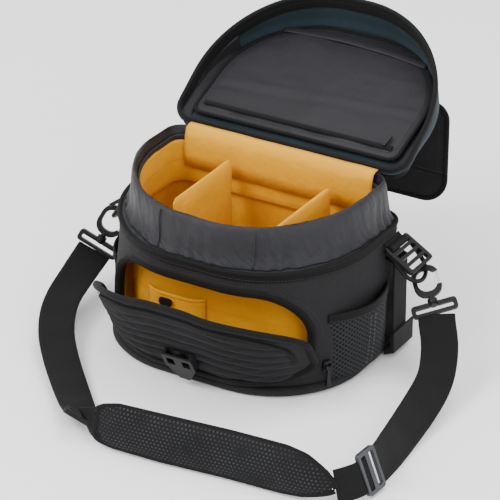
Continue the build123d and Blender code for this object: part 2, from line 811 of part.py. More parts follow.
edge_z = FLAP_Z - FLAP_L
with BuildPart() as flap_edge:
    with BuildSketch(Plane.XZ.offset(-FLAP_Y)):
        with Locations((0, edge_z - FLAP_EDGE_L / 2 - 0.25)):
            Rectangle(2 * FLAP_HALF, FLAP_EDGE_L - 0.5)
        fillet(vertices().group_by(Axis.Y)[0], 28)
    extrude(amount=-FLAP_T)
save(flap_edge.part, "flap_edge")

strap_z = edge_z - FLAP_EDGE_L
BUCKLE_WEB_L = 46.0
with BuildPart() as buckle_web:
    with BuildSketch(Plane.XZ.offset(-FLAP_Y)):
        with Locations((0, strap_z - BUCKLE_WEB_L / 2 - 0.3)):
            Rectangle(20, BUCKLE_WEB_L)
    extrude(amount=-WEB_T)
save(buckle_web.part, "buckle_web")

prong_z = strap_z - BUCKLE_WEB_L - 0.3
with BuildPart() as buckle_prongs:
    with BuildSketch(Plane.XZ.offset(-FLAP_Y + 1)):
        with Locations((0, prong_z - 7.5)):
            RectangleRounded(30, 15, 2)
        with Locations((0, prong_z - 6.5)):
            Rectangle(21, 5, mode=Mode.SUBTRACT)
        with Locations((-10.5, prong_z - 25), (10.5, prong_z - 25)):
            Rectangle(4.5, 22)
        with Locations((0, prong_z - 27)):
            Rectangle(6, 26)
    extrude(amount=-4.4)
save(buckle_prongs.part, "buckle_prongs")

# ---------------------------------------------------------------- slider of the main zip

main_plane = Plane(origin=(104, BACK_Y + 1.5, SEAM_Z + 1.2), x_dir=(-1, 0, 0), z_dir=(0, 1, 0))
with BuildPart() as main_slider:
    with BuildSketch(main_plane):
        RectangleRounded(12, 8, 2)
    extrude(amount=3.5)
    with BuildSketch(main_plane.offset(3.5)):
        with Locations((-2.6, 0), (2.6, 0)):
            Rectangle(1.6, 5)
    extrude(amount=3)
save(main_slider.part, "main_slider")
zip_puller(main_plane.offset(5.1), 20, "main_puller")
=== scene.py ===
from math import atan2, cos, hypot, pi, radians, sin, sqrt

import bpy
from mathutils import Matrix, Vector, noise


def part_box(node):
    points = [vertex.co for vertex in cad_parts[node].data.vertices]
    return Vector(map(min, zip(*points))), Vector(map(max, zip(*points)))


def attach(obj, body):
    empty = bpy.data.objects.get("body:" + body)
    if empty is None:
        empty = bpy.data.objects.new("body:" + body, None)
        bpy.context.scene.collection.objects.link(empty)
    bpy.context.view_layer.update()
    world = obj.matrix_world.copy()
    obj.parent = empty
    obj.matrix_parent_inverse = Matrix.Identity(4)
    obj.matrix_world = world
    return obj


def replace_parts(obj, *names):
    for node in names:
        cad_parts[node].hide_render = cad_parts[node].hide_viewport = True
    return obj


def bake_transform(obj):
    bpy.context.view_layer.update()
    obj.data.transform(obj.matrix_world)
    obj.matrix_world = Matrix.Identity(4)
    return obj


# Camera shoulder bag, open. Lengths are in millimetres here and become metres in the meshes.
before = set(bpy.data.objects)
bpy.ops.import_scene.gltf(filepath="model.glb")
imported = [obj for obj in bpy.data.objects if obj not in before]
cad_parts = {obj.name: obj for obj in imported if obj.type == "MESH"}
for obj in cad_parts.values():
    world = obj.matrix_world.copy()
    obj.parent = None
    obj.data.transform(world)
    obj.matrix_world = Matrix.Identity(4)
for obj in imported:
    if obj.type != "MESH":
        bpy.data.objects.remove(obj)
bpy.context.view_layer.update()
MM = 0.001
scene = bpy.context.scene

# ---------------------------------------------------------------- camera, floor and light

TARGET = Vector((0, 0, 0.090))
AZIMUTH, ELEVATION, DISTANCE = radians(30.9), radians(27.9), 3.0
FLOOR_HALF = 6.0
SOFTBOXES = (
    ("key", (-1.1, -1.5, 2.1), (1.3, 1.3), 60),
    ("fill", (2.1, -1.1, 1.2), (1.4, 1.4), 26),
    ("top", (0.2, 0.5, 2.4), (1.6, 1.2), 22),
)


def new_object(name, data):
    obj = bpy.data.objects.new(name, data)
    scene.collection.objects.link(obj)
    return obj


def look_from(obj, place, at):
    obj.location = place
    obj.rotation_mode = "QUATERNION"
    obj.rotation_quaternion = (at - place).to_track_quat("-Z", "Y")


def add_camera():
    lens = bpy.data.cameras.new("camera")
    lens.sensor_width = 36
    lens.lens = 209.5
    lens.shift_x = 0.0172
    lens.shift_y = 0.0284
    lens.clip_start, lens.clip_end = 0.1, 30
    back = Vector((sin(AZIMUTH) * cos(ELEVATION), -cos(AZIMUTH) * cos(ELEVATION), sin(ELEVATION)))
    obj = new_object("camera", lens)
    look_from(obj, TARGET + back * DISTANCE, TARGET)
    scene.camera = obj


def add_softbox(name, place, size, power):
    lamp = bpy.data.lights.new(name, "AREA")
    lamp.shape = "RECTANGLE"
    lamp.size, lamp.size_y = size
    lamp.energy = power
    look_from(new_object(name, lamp), Vector(place), Vector((0, 0, 0.1)))


def add_studio():
    r = FLOOR_HALF
    mesh = bpy.data.meshes.new("floor")
    mesh.from_pydata([(-r, -r, 0), (r, -r, 0), (r, r, 0), (-r, r, 0)], [], [(0, 1, 2, 3)])
    ground = new_object("floor", mesh)
    pale = bpy.data.materials.new("floor_pale")
    pale.use_nodes = True
    shader = pale.node_tree.nodes["Principled BSDF"]
    shader.inputs["Base Color"].default_value = (0.97, 0.97, 0.97, 1)
    shader.inputs["Roughness"].default_value = 0.8
    mesh.materials.append(pale)
    world = bpy.data.worlds.new("studio")
    scene.world = world
    world.use_nodes = True
    sky = world.node_tree.nodes["Background"]
    sky.inputs["Color"].default_value = (1, 1, 1, 1)
    sky.inputs["Strength"].default_value = 1.4
    for softbox in SOFTBOXES:
        add_softbox(*softbox)


add_camera()
add_studio()

# ---------------------------------------------------------------- materials


class Paint:
    """A material being built, with the cloth's coordinates (uv) and the object's own (body)."""

    def __init__(self, name):
        self.made = bpy.data.materials.new(name)
        self.made.use_nodes = True
        self.tree = self.made.node_tree
        coords = self.node("TexCoord", {})
        self.uv, self.body = coords["UV"], coords["Object"]

    def feed(self, socket, value):
        if isinstance(value, bpy.types.NodeSocket):
            self.tree.links.new(value, socket)
        elif value is not None:
            socket.default_value = value

    def node(self, kind, sockets, **settings):
        """A new node's outputs; its sockets take a link, a value, or None to be left alone."""
        node = self.tree.nodes.new("ShaderNode" + kind)
        for key, value in settings.items():
            setattr(node, key, value)
        for key, value in sockets.items():
            self.feed(node.inputs[key], value)
        return node.outputs

    def noise(self, vector, scale, detail=3.0, rough=0.55, stretch=(1, 1, 1)):
        moved = self.node("Mapping", {"Vector": vector, "Scale": stretch})["Vector"]
        sockets = {"Vector": moved, "Scale": scale, "Detail": detail, "Roughness": rough}
        return self.node("TexNoise", sockets)["Fac"]

    def wave(self, vector, pitch, turn=0.0, distortion=0.0):
        """Bands of the given pitch in millimetres across the fabric, turned by an angle."""
        moved = self.node("Mapping", {"Vector": vector, "Rotation": (0, 0, turn)})["Vector"]
        scale = 2 * pi / 20 / (pitch * MM)
        sockets = {"Vector": moved, "Scale": scale, "Distortion": distortion, "Detail": 1}
        return self.node("TexWave", sockets, bands_direction="X")["Fac"]

    def math(self, kind, a, b=None):
        return self.node("Math", {0: a, 1: b}, operation=kind)[0]

    def add(self, a, b):
        return self.math("ADD", a, b)

    def times(self, a, b):
        return self.math("MULTIPLY", a, b)

    def weigh(self, first, *others):
        """Sum of textures, each given with its weight."""
        total = self.times(*first)
        for pair in others:
            total = self.add(total, self.times(*pair))
        return total

    def mix(self, factor, a, b):
        """From colour a to colour b with the factor."""
        a, b = ((*c, 1) if isinstance(c, tuple) else c for c in (a, b))
        return self.node("Mix", {"Factor": factor, 6: a, 7: b}, data_type="RGBA")[2]

    def ramp(self, value, low, high, to_low=0.0, to_high=1.0):
        sockets = {"From Min": low, "From Max": high, "To Min": to_low, "To Max": to_high}
        return self.node("MapRange", {"Value": value, **sockets})["Result"]

    def bump(self, height, distance, strength, below=None):
        sockets = {"Height": height, "Distance": distance * MM, "Strength": strength}
        return self.node("Bump", {**sockets, "Normal": below})["Normal"]

    def finish(self, colour, roughness, normal, specular, **constants):
        """Fills the shader's sockets; a constant's name has _ for its spaces."""
        shader = self.tree.nodes["Principled BSDF"].inputs
        self.feed(shader["Base Color"], colour)
        self.feed(shader["Roughness"], roughness)
        self.feed(shader["Normal"], normal)
        shader["Specular IOR Level"].default_value = specular
        for key, value in constants.items():
            shader[key.replace("_", " ")].default_value = value
        return self.made


def fabric(
    name, dark, light, pitch, rough=(0.6, 0.9), sheen=0.03, creases=(24, 1.6), gathers=None,
    weave_depth=0.35, specular=0.3,
):
    """Woven cloth: threads both ways, uneven dye, soft creases, and gathers where it is sewn."""
    p = Paint(name)
    weave = p.times(p.wave(p.uv, pitch), p.wave(p.uv, pitch, pi / 2))
    cloudy = p.noise(p.body, 17, 4)
    grain = p.noise(p.body, 900, 2)
    crease = p.noise(p.body, creases[0], 3, 0.6)
    tone = p.weigh((weave, 0.45), (grain, 0.3), (cloudy, 0.45))
    normal = p.bump(crease, creases[1] * 4, 0.5)
    if gathers is not None:
        folds = p.noise(p.uv, gathers[0], 2, 0.5, (1, 0.13, 1))
        normal = p.bump(folds, gathers[1], 0.55, normal)
    return p.finish(
        p.mix(p.ramp(tone, 0.2, 0.95), dark, light),
        p.ramp(cloudy, 0, 1, *rough),
        p.bump(weave, weave_depth, 0.6, normal),
        specular,
        Sheen_Weight=sheen,
        Sheen_Roughness=0.5,
    )


def webbing_material(name, dark, light, pitch):
    """Heavy ribbed tape: ribs across, threads along, paler on the ribs."""
    p = Paint(name)
    ribs = p.wave(p.uv, pitch, 0, 0.2)
    threads = p.wave(p.uv, 1.1, pi / 2, 0.6)
    grain = p.noise(p.body, 700, 3)
    tone = p.weigh((ribs, 0.4), (grain, 0.5), (p.noise(p.body, 22, 3), 0.3))
    return p.finish(
        p.mix(p.ramp(tone, 0.25, 0.95), dark, light),
        p.ramp(grain, -1.6, 1.2),
        p.bump(p.times(ribs, threads), 0.5, 0.6),
        0.15,
        Sheen_Weight=0.02,
    )


def dotted_material(name, dark, light, dot, across_pitch=4.2, up_pitch=3.3):
    """Pad cloth with staggered rows of pale dots woven in."""
    p = Paint(name)
    split = p.node("SeparateXYZ", {"Vector": p.body})
    up = p.times(split["Z"], 1 / (up_pitch * MM))
    row = p.math("FLOOR", up)
    across = p.add(p.times(split["X"], 1 / (across_pitch * MM)), p.times(row, 0.5))
    dx, dy = (p.math("SUBTRACT", p.math("FRACT", value), 0.5) for value in (across, up))
    far = p.math("SQRT", p.add(p.times(dx, dx), p.times(dy, dy)))
    spot = p.ramp(far, 0.27, 0.17)
    grain = p.noise(p.body, 1100, 2)
    cloudy = p.noise(p.body, 20, 3)
    patchy = p.times(spot, p.ramp(p.noise(p.body, 60, 2), 0.2, 0.75))
    return p.finish(
        p.mix(patchy, p.mix(grain, dark, light), dot),
        p.ramp(cloudy, -1.6, 1.0),
        p.bump(p.add(spot, grain), 0.5, 0.5, p.bump(cloudy, 6, 0.5)),
        0.18,
        Sheen_Weight=0.02,
    )


def mesh_material(name, hole_shade, strand):
    """Open diagonal net of knitted strands, with its holes painted near-black: the dark wall
    behind them plus painted shade.
    """
    p = Paint(name)
    both = (p.wave(p.uv, 4.2, radians(turn), 0.3) for turn in (52, -52))
    net = p.ramp(p.math("MAXIMUM", *both), 0.62, 0.88)
    grain = p.noise(p.body, 500, 2)
    tone = p.times(net, p.add(grain, 0.35))
    return p.finish(
        p.mix(tone, hole_shade, strand), p.ramp(grain, -1.2, 1.0), p.bump(net, 0.9, 0.9), 0.2
    )


def plastic(name, dark, light, rough, grain_size=700, metallic=0.0, specular=0.4):
    """Moulded plastic or metal with a fine mould grain and handled, smoother patches."""
    p = Paint(name)
    worn = p.noise(p.body, 45, 4)
    return p.finish(
        p.mix(p.ramp(worn, 0.3, 0.75), dark, light),
        p.ramp(worn, 0, 1, rough - 0.12, rough + 0.16),
        p.bump(p.noise(p.body, grain_size, 3), 0.12, 0.5),
        specular,
        Metallic=metallic,
    )


SHELL = fabric(
    "shell_fabric", (0.0068, 0.0068, 0.0076), (0.023, 0.023, 0.0252), 1.3,
    sheen=0.02, specular=0.16,
)
COLLAR = fabric(
    "collar_fabric", (0.0055, 0.0055, 0.0078), (0.0165, 0.0165, 0.0215), 1.0,
    rough=(0.42, 0.62), creases=(30, 1.3), gathers=(120, 3.0), weave_depth=0.15,
)
LID = fabric(
    "lid_fabric", (0.006, 0.0125, 0.0165), (0.021, 0.040, 0.050), 2.1,
    creases=(16, 1.2), specular=0.2,
)
LID_LINING = fabric(
    "lid_lining_fabric", (0.006, 0.0055, 0.0078), (0.0145, 0.0138, 0.0185), 1.0,
    rough=(0.45, 0.68), creases=(14, 2.0), weave_depth=0.15, specular=0.28,
)
YELLOW = fabric(
    "yellow_lining", (0.58, 0.262, 0.0003), (0.76, 0.375, 0.0006), 1.0,
    rough=(0.5, 0.75), creases=(26, 1.5), weave_depth=0.15,
)
BINDING = webbing_material("binding_tape", (0.0018, 0.0018, 0.002), (0.0065, 0.0065, 0.007), 1.4)
WEBBING = webbing_material("webbing", (0.0018, 0.0018, 0.002), (0.0068, 0.0068, 0.0074), 2.0)
ZIP_TAPE = webbing_material("zip_tape", (0.0015, 0.0015, 0.0018), (0.0055, 0.0055, 0.006), 1.2)
# The first colour is the holes' near-black: the dark wall seen through them, darkened further as
# painted shade.
NET = mesh_material("mesh", (0.0008, 0.0008, 0.001), (0.026, 0.027, 0.031))
PAD = dotted_material(
    "pad_fabric", (0.0025, 0.0025, 0.003), (0.0075, 0.0075, 0.0085), (0.042, 0.044, 0.05)
)
THREAD = plastic("stitch_thread", (0.012, 0.012, 0.014), (0.026, 0.026, 0.030), 0.6, 2000)
YELLOW_THREAD = plastic("yellow_thread", (0.50, 0.18, 0.004), (0.60, 0.24, 0.008), 0.6, 2000)
BLACK_PLASTIC = plastic(
    "black_plastic", (0.0022, 0.0022, 0.0026), (0.007, 0.007, 0.008), 0.46, specular=0.22
)
GREY_PLASTIC = plastic("grey_plastic", (0.018, 0.020, 0.024), (0.040, 0.044, 0.052), 0.36)
ZIP_METAL = plastic("zip_metal", (0.006, 0.006, 0.0065), (0.018, 0.018, 0.020), 0.34, metallic=0.5)
STEEL = plastic("gate_steel", (0.50, 0.51, 0.53), (0.68, 0.69, 0.71), 0.28, metallic=1.0)

# ---------------------------------------------------------------- mesh helpers


def clamp(value):
    return max(0.0, min(1.0, value))


def shade_smooth(mesh):
    mesh.polygons.foreach_set("use_smooth", [True] * len(mesh.polygons))


def dress(mesh, material):
    mesh.materials.clear()
    mesh.materials.append(material)
    mesh.polygons.foreach_set("material_index", [0] * len(mesh.polygons))


def make_piece(name, verts, faces, uvs, material, body):
    """A mesh piece from points in millimetres, with one texture coordinate a vertex in metres."""
    mesh = bpy.data.meshes.new(name)
    mesh.from_pydata([Vector(v) * MM for v in verts], [], faces)
    layer = mesh.uv_layers.new(name="cloth")
    for loop in mesh.loops:
        layer.data[loop.index].uv = uvs[loop.vertex_index]
    mesh.materials.append(material)
    shade_smooth(mesh)
    mesh.update()
    obj = new_object(name, mesh)
    if body:
        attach(obj, body)
    return obj


def bake(obj):
    """Applies the piece's modifiers to its mesh."""
    graph = bpy.context.evaluated_depsgraph_get()
    mesh = bpy.data.meshes.new_from_object(obj.evaluated_get(graph))
    obj.modifiers.clear()
    obj.data = mesh


def modify(obj, kind, **settings):
    modifier = obj.modifiers.new(kind.lower(), kind)
    for key, value in settings.items():
        setattr(modifier, key, value)
    return modifier


def grid(
    name, rows, material, body="bag", around=False, thickness=0, offset=-1.0, shape=None,
    flip=False,
):
    """A cloth surface through rows of points; around joins each row's last point to its first."""
    count = len(rows[0])
    verts, uvs = [], []
    up = 0.0
    for i, row in enumerate(rows):
        if i:
            up += (Vector(row[0]) - Vector(rows[i - 1][0])).length
        along = 0.0
        for j, point in enumerate(row):
            if j:
                along += (Vector(point) - Vector(row[j - 1])).length
            verts.append(shape(point) if shape else Vector(point))
            uvs.append((along * MM, up * MM))
    faces = []
    for i in range(len(rows) - 1):
        for j in range(count if around else count - 1):
            k = (j + 1) % count
            face = (i * count + j, i * count + k, (i + 1) * count + k, (i + 1) * count + j)
            faces.append(face[::-1] if flip else face)
    obj = make_piece(name, verts, faces, uvs, material, body)
    if thickness:
        modify(obj, "SOLIDIFY", thickness=thickness * MM, offset=offset)
        bake(obj)
    return obj


def each(value, path):
    """One value for every point of a path, from a list or from a single vector."""
    return [value] * len(path) if isinstance(value, Vector) else value


def sweep(name, path, across, section, material, body="bag", closed=False):
    """A closed section carried along a path; section(i) has pairs: along the width, off it."""
    across = each(across, path)
    verts, uvs, faces = [], [], []
    total = len(path)
    along = 0.0
    for i, point in enumerate(path):
        before = path[(i - 1) % total if closed else max(i - 1, 0)]
        after = path[(i + 1) % total if closed else min(i + 1, total - 1)]
        heading = (after - before).normalized()
        wide = across[i] - heading * heading.dot(across[i])
        wide.normalize()
        off = heading.cross(wide)
        if i:
            along += (point - path[i - 1]).length
        ring = section(i)
        round_it = 0.0
        for k, (a, b) in enumerate(ring):
            if k:
                round_it += hypot(a - ring[k - 1][0], b - ring[k - 1][1])
            verts.append(point + wide * a + off * b)
            uvs.append((along * MM, round_it * MM))
    size = len(section(0))
    for i in range(total if closed else total - 1):
        n = (i + 1) % total
        for k in range(size):
            m = (k + 1) % size
            faces.append((i * size + k, n * size + k, n * size + m, i * size + m))
    if not closed:
        faces.append(tuple(range(size)))
        faces.append(tuple(reversed(range((total - 1) * size, total * size))))
    return make_piece(name, verts, faces, uvs, material, body)


def rounded(width, thickness, power=5.0, count=20):
    """Section of tape or piping: a rounded bar of that width and thickness."""
    ring = []
    for k in range(count):
        a = 2 * pi * k / count
        c, s = cos(a), sin(a)
        wide = width / 2 * abs(c) ** (2 / power) * (1 if c >= 0 else -1)
        thick = thickness / 2 * abs(s) ** (2 / power) * (1 if s >= 0 else -1)
        ring.append((wide, thick))
    return ring


def tape(name, path, across, width, thickness, material, body="bag", closed=False, power=5.0):
    ring = rounded(width, thickness, power)
    return sweep(name, path, across, lambda i: ring, material, body, closed)


def run_marks(line):
    """Length along a line up to each of its points."""
    marks = [0.0]
    for a, b in zip(line, line[1:]):
        marks.append(marks[-1] + (b - a).length)
    return marks


def resample(points, step, closed=False):
    """The same line with points an even step apart."""
    run = [Vector(p) for p in points]
    if closed:
        run.append(run[0])
    marks = run_marks(run)
    count = max(2, round(marks[-1] / step))
    found, k = [], 0
    for i in range(count + (0 if closed else 1)):
        want = marks[-1] * i / count
        while k < len(run) - 2 and marks[k + 1] < want:
            k += 1
        span = marks[k + 1] - marks[k]
        found.append(run[k].lerp(run[k + 1], (want - marks[k]) / span if span else 0))
    return found


# Half profile of one stitch: along its length, half its width, and its height off the cloth.
STITCH = ((-0.5, 0.25, -0.15), (-0.2, 0.5, 0.35), (0.2, 0.5, 0.35), (0.5, 0.25, -0.15))


def stitches(
    name, path, normals, body="bag", material=THREAD, pitch=3.6, length=2.3, width=0.7,
):
    """A row of separate thread stitches lying on the cloth along a line."""
    normals = each(normals, path)
    verts, uvs, faces = [], [], []
    marks = run_marks(path)
    k = 0
    for i in range(int(marks[-1] / pitch)):
        want = pitch * (i + 0.5)
        while k < len(path) - 2 and marks[k + 1] < want:
            k += 1
        span = max(marks[k + 1] - marks[k], 1e-6)
        place = path[k].lerp(path[k + 1], (want - marks[k]) / span)
        heading = (path[k + 1] - path[k]).normalized()
        up = normals[k].normalized()
        wide = heading.cross(up).normalized()
        base = len(verts)
        for a, w, h in STITCH:
            for s in (-1, 1):
                verts.append(place + heading * (a * length) + wide * (s * w * width) + up * h)
                uvs.append((a, s))
        for b in (base, base + 2, base + 4):
            faces.append((b, b + 2, b + 3, b + 1))
    return make_piece(name, verts, faces, uvs, material, body)


def wobble(point, size, amount, seed=0.0):
    """A smooth, repeatable unevenness between about -amount and amount."""
    return amount * noise.noise(Vector(point) / size + Vector((seed, seed * 1.7, -seed)))


def box_uv(mesh):
    """Texture coordinates in metres from the direction that each face looks."""
    layer = mesh.uv_layers.get("cloth") or mesh.uv_layers.new(name="cloth")
    for face in mesh.polygons:
        axis = max(range(3), key=lambda k: abs(face.normal[k]))
        u, v = [k for k in range(3) if k != axis]
        for index in face.loop_indices:
            co = mesh.vertices[mesh.loops[index].vertex_index].co
            layer.data[index].uv = (co[u], co[v])


def frame_node(name):
    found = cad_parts[name]
    return found if isinstance(found, bpy.types.Object) else bpy.data.objects[name]


def soft_copy(node, name, material, voxel, smooth, crumple, body="bag", size=26):
    """The piece's own shape rebuilt as fabric: rounded, uneven edges and a crumpled face."""
    mesh = frame_node(node).data.copy()
    dress(mesh, material)
    obj = new_object(name, mesh)
    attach(obj, body)
    modify(obj, "REMESH", mode="VOXEL", voxel_size=voxel * MM)
    modify(obj, "SMOOTH", factor=0.5, iterations=smooth)
    bake(obj)
    mesh = obj.data
    dress(mesh, material)
    moves = [v.normal * wobble(v.co / MM, size, crumple) * MM for v in mesh.vertices]
    for v, move in zip(mesh.vertices, moves):
        v.co += move
    shade_smooth(mesh)
    box_uv(mesh)
    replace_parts(obj, node)
    return obj


def puff(obj, cap, voxel, pressure, keep=None, frames=20):
    """Fills a padded piece: it is remeshed and blown up as cloth, and no point moves past cap."""
    material = obj.data.materials[0]
    modify(obj, "REMESH", mode="VOXEL", voxel_size=voxel * MM)
    bake(obj)
    rest = [v.co.copy() for v in obj.data.vertices]
    cloth = modify(obj, "CLOTH")
    cloth.settings.quality = 5
    cloth.settings.mass = 0.3
    cloth.settings.tension_stiffness = 15
    cloth.settings.compression_stiffness = 15
    cloth.settings.bending_stiffness = 1.5
    cloth.settings.use_pressure = True
    cloth.settings.uniform_pressure_force = pressure
    cloth.settings.effector_weights.gravity = 0
    cloth.point_cache.frame_start = 1
    cloth.point_cache.frame_end = frames
    for n in range(1, frames + 1):
        scene.frame_set(n)
    graph = bpy.context.evaluated_depsgraph_get()
    moved = [v.co.copy() for v in obj.evaluated_get(graph).data.vertices]
    obj.modifiers.clear()
    for vertex, start, end in zip(obj.data.vertices, rest, moved):
        step = end - start
        limit = cap * MM * (keep(start / MM) if keep else 1.0)
        if step.length > limit:
            step *= limit / step.length
        vertex.co = start + step
    scene.frame_set(1)
    modify(obj, "SMOOTH", factor=0.5, iterations=2)
    modify(obj, "SUBSURF", levels=1, render_levels=1)
    bake(obj)
    dress(obj.data, material)
    box_uv(obj.data)
    shade_smooth(obj.data)


# ---------------------------------------------------------------- shoulder strap

# Each station is a point of the webbing's middle line and the direction of its width there.
STRAP_RIGHT = [
    ((204.8, 43, 68.8), (0.774, 0.588, 0.226)),
    ((208, 38, 62), (0.86, 0.5, 0.12)),
    ((216, 29, 51), (0.9, 0.43, 0)),
    ((224, 15, 40), (0.91, 0.38, -0.15)),
    ((235, -14, 29), (0.84, 0.3, -0.45)),
    ((240, -51, 22), (0.82, 0.17, -0.55)),
    ((245, -95, 18.5), (0.68, 0.1, -0.72)),
    ((252, -142, 19), (0.55, 0.03, -0.83)),
    ((256, -176, 20.5), (0.38, 0, -0.92)),
]
STRAP_SHORT = [
    ((256, -188, 22), (0.37, -0.02, -0.93)),
    ((255.5, -201, 21.5), (0.36, -0.05, -0.93)),
    ((250, -213, 20.5), (0.3, -0.15, -0.94)),
    ((239.5, -226.5, 19.5), (0.2, -0.25, -0.95)),
]
STRAP_TAIL = [
    ((-12, -249, 24.5), (0.03, -0.32, -0.94)),
    ((-23, -247.5, 21), (0.3, -0.2, -0.92)),
    ((-33, -244, 17.5), (0.6, 0, -0.75)),
]
STRAP_LEFT = [
    ((-47, -231, 13), (0.84, 0.4, -0.36)),
    ((-60, -217, 11), (0.76, 0.6, -0.24)),
    ((-87, -189, 9), (0.7, 0.7, -0.14)),
    ((-127, -148, 12), (0.74, 0.67, -0.07)),
    ((-159, -111, 19), (0.83, 0.55, -0.08)),
    ((-182, -68, 27), (0.95, 0.31, -0.08)),
    ((-191, -20, 35), (0.96, 0.2, -0.2)),
    ((-195, 19, 45.8), (0.894, 0.254, -0.37)),
]
STRAP_THICKNESS = 2.3


def spline_path(points):
    """The smooth line of a webbing's stations, in millimetres."""
    curve = bpy.data.curves.new("route", "CURVE")
    curve.dimensions = "3D"
    curve.resolution_u = 16
    spline = curve.splines.new("NURBS")
    spline.points.add(len(points) - 1)
    for knot, point in zip(spline.points, points):
        knot.co = (point[0] * MM, point[1] * MM, point[2] * MM, 1)
    spline.order_u = 3
    spline.use_endpoint_u = True
    obj = new_object("route", curve)
    mesh = bpy.data.meshes.new_from_object(obj)
    path = [v.co / MM for v in mesh.vertices]
    bpy.data.objects.remove(obj)
    return path


def spread_directions(stations, path):
    """The webbing's width direction at every point of its path."""
    marks = run_marks([Vector(place) for place, _ in stations])
    run = run_marks(path)
    found, k = [], 0
    for length in run:
        want = length / run[-1] * marks[-1]
        while k < len(marks) - 2 and marks[k + 1] < want:
            k += 1
        t = (want - marks[k]) / (marks[k + 1] - marks[k])
        found.append(Vector(stations[k][1]).lerp(Vector(stations[k + 1][1]), t).normalized())
    return found


def strap(name, stations, node, width=38.0):
    """Flat webbing with a raised band along each edge, slightly cupped across its width."""
    path = spline_path([place for place, _ in stations])

    def section(i):
        cup = 0.385 * sin(0.35 * i) + 0.5
        ring = []
        for a, b in rounded(width, STRAP_THICKNESS, 9.0, 36):
            edge = abs(a) / (width / 2)
            ridge = 0.22 if 0.72 < edge < 0.9 else 0.0
            ring.append((a, b * (1 + ridge) + cup * (1 - edge * edge)))
        return ring

    obj = sweep(name, path, spread_directions(stations, path), section, WEBBING)
    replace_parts(obj, node)
    return obj, path


web_right, right_path = strap("strap_right", STRAP_RIGHT, "strap_web_right")
web_left, left_path = strap("strap_left", STRAP_LEFT, "strap_web_left")
web_short, _ = strap("strap_short", STRAP_SHORT, "strap_web_short", 34.0)
web_tail, _ = strap("strap_tail", STRAP_TAIL, "strap_web_tail", 30.0)

# The shoulder pad's middle line from its left end to its right: x, y, z and the pad's width.
PAD_LINE = [
    (-17, -249, 24, 33),
    (-10, -249, 24.5, 40),
    (6, -248, 25.5, 46),
    (58, -244, 25.5, 48),
    (128, -236, 25.5, 48),
    (186, -232, 25.5, 48),
    (208, -231.5, 25, 43),
    (224, -230.5, 23, 31),
    (234, -229, 20.5, 20),
    (239, -228, 19.5, 13),
]
PAD_RIGHT, PAD_LENGTH = 239, 256
PAD_ACROSS = Vector((0.03, -0.32, -0.94))


def interpolate(line, x):
    """Value at x of a list of (x, value) pairs in rising order."""
    for (x0, v0), (x1, v1) in zip(line, line[1:]):
        if x <= x1:
            return v0 + (v1 - v0) * max(0.0, (x - x0) / (x1 - x0))
    return line[-1][1]


def pad_centre(t):
    """Middle of the pad and its width, t from 0 at the right end to 1 at the left."""
    x = PAD_RIGHT - PAD_LENGTH * t
    y, z, width = (interpolate([(row[0], row[k]) for row in PAD_LINE], x) for k in (1, 2, 3))
    return Vector((x, y, z)), width


def shoulder_pad():
    """Foam pad in its cover, blown up as cloth, with a flat sewn edge."""
    steps = 64
    path, widths = zip(*(pad_centre(i / steps) for i in range(steps + 1)))

    def section(i):
        end = min(i, steps - i) / 3
        return rounded(widths[i] + 1.5, 5.0 * min(1.0, 0.45 + 0.2 * end), 3.4, 30)

    def middle(point):
        """Full movement at the pad's middle, hardly any at its sewn edge."""
        t = clamp((PAD_RIGHT - point.x) / PAD_LENGTH)
        place, wide = pad_centre(t)
        off = abs((point - place).dot(PAD_ACROSS)) / (wide / 2)
        return max(0.06, 1 - off**3) * min(1.0, 0.1 + 12 * min(t, 1 - t))

    pad = sweep("shoulder_pad_cover", path, PAD_ACROSS, section, PAD)
    puff(pad, 3.2, voxel=2.5, pressure=5, keep=middle)
    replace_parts(pad, "shoulder_pad")
    lower, upper = (
        [p + PAD_ACROSS * sign * (width / 2 - 2.4) for p, width in zip(path, widths)]
        for sign in (1, -1)
    )
    edge_loop = resample(lower + upper[::-1], 4, closed=True)
    facing = Vector((0.05, -0.94, 0.32)).cross(Vector((1, 0, 0)))
    rim = tape("pad_edge", edge_loop, facing, 5.4, 3.6, BINDING, closed=True, power=2.6)
    rim.parent = pad


shoulder_pad()


# ---------------------------------------------------------------- plans of the bag

UP, FORWARD = Vector((0, 0, 1)), Vector((0, -1, 0))
WALL_HIGH = 142  # height of the seam between the wall and the collar
FAN = (0.8, 0.6, 0.4, 0.2, 0.001)  # shares of a loop that close it towards its middle


def half_plan(half, front, back, front_r, back_r):
    line = [Vector((0, back, 0)), Vector((half - back_r, back, 0))]
    for k in range(1, 11):
        a = pi / 2 * k / 10
        x, y = half - back_r + back_r * sin(a), back - back_r + back_r * cos(a)
        line.append(Vector((x, y, 0)))
    for k in range(25):
        a = pi / 2 * k / 24
        x, y = half - front_r + front_r * cos(a), front + front_r - front_r * sin(a)
        line.append(Vector((x, y, 0)))
    line.append(Vector((0, front, 0)))
    return line


def plan(half, front, back, front_r, back_r, z=0.0, count=240):
    """D-shaped loop at a height, from the middle of the back round by the right."""
    line = half_plan(half, front, back, front_r, back_r)
    total = sum((b - a).length for a, b in zip(line, line[1:]))
    right = resample(line, total / (count // 2))[: count // 2 + 1]
    loop = right + [Vector((-p.x, p.y, 0)) for p in right[-2:0:-1]]
    return [Vector((p.x, p.y, z)) for p in loop]


def shrunk(loop, share, middle_y):
    """The loop drawn in towards the point (0, middle_y)."""
    return [Vector((p.x * share, (p.y - middle_y) * share + middle_y, p.z)) for p in loop]


def belly(z):
    """Share of the wall's height at z, and how far the wall swells there."""
    t = clamp(z / WALL_HIGH)
    return t, 1.8 * sin(pi * t)


def body_plan(z):
    """The body's outside at a height: narrower at its base, a little full in the middle."""
    t, full = belly(z)
    return plan(139.4 + full, -94.6 - full * 0.6, 91.5 + full * 0.7, 100 + 18 * t, 26, z)


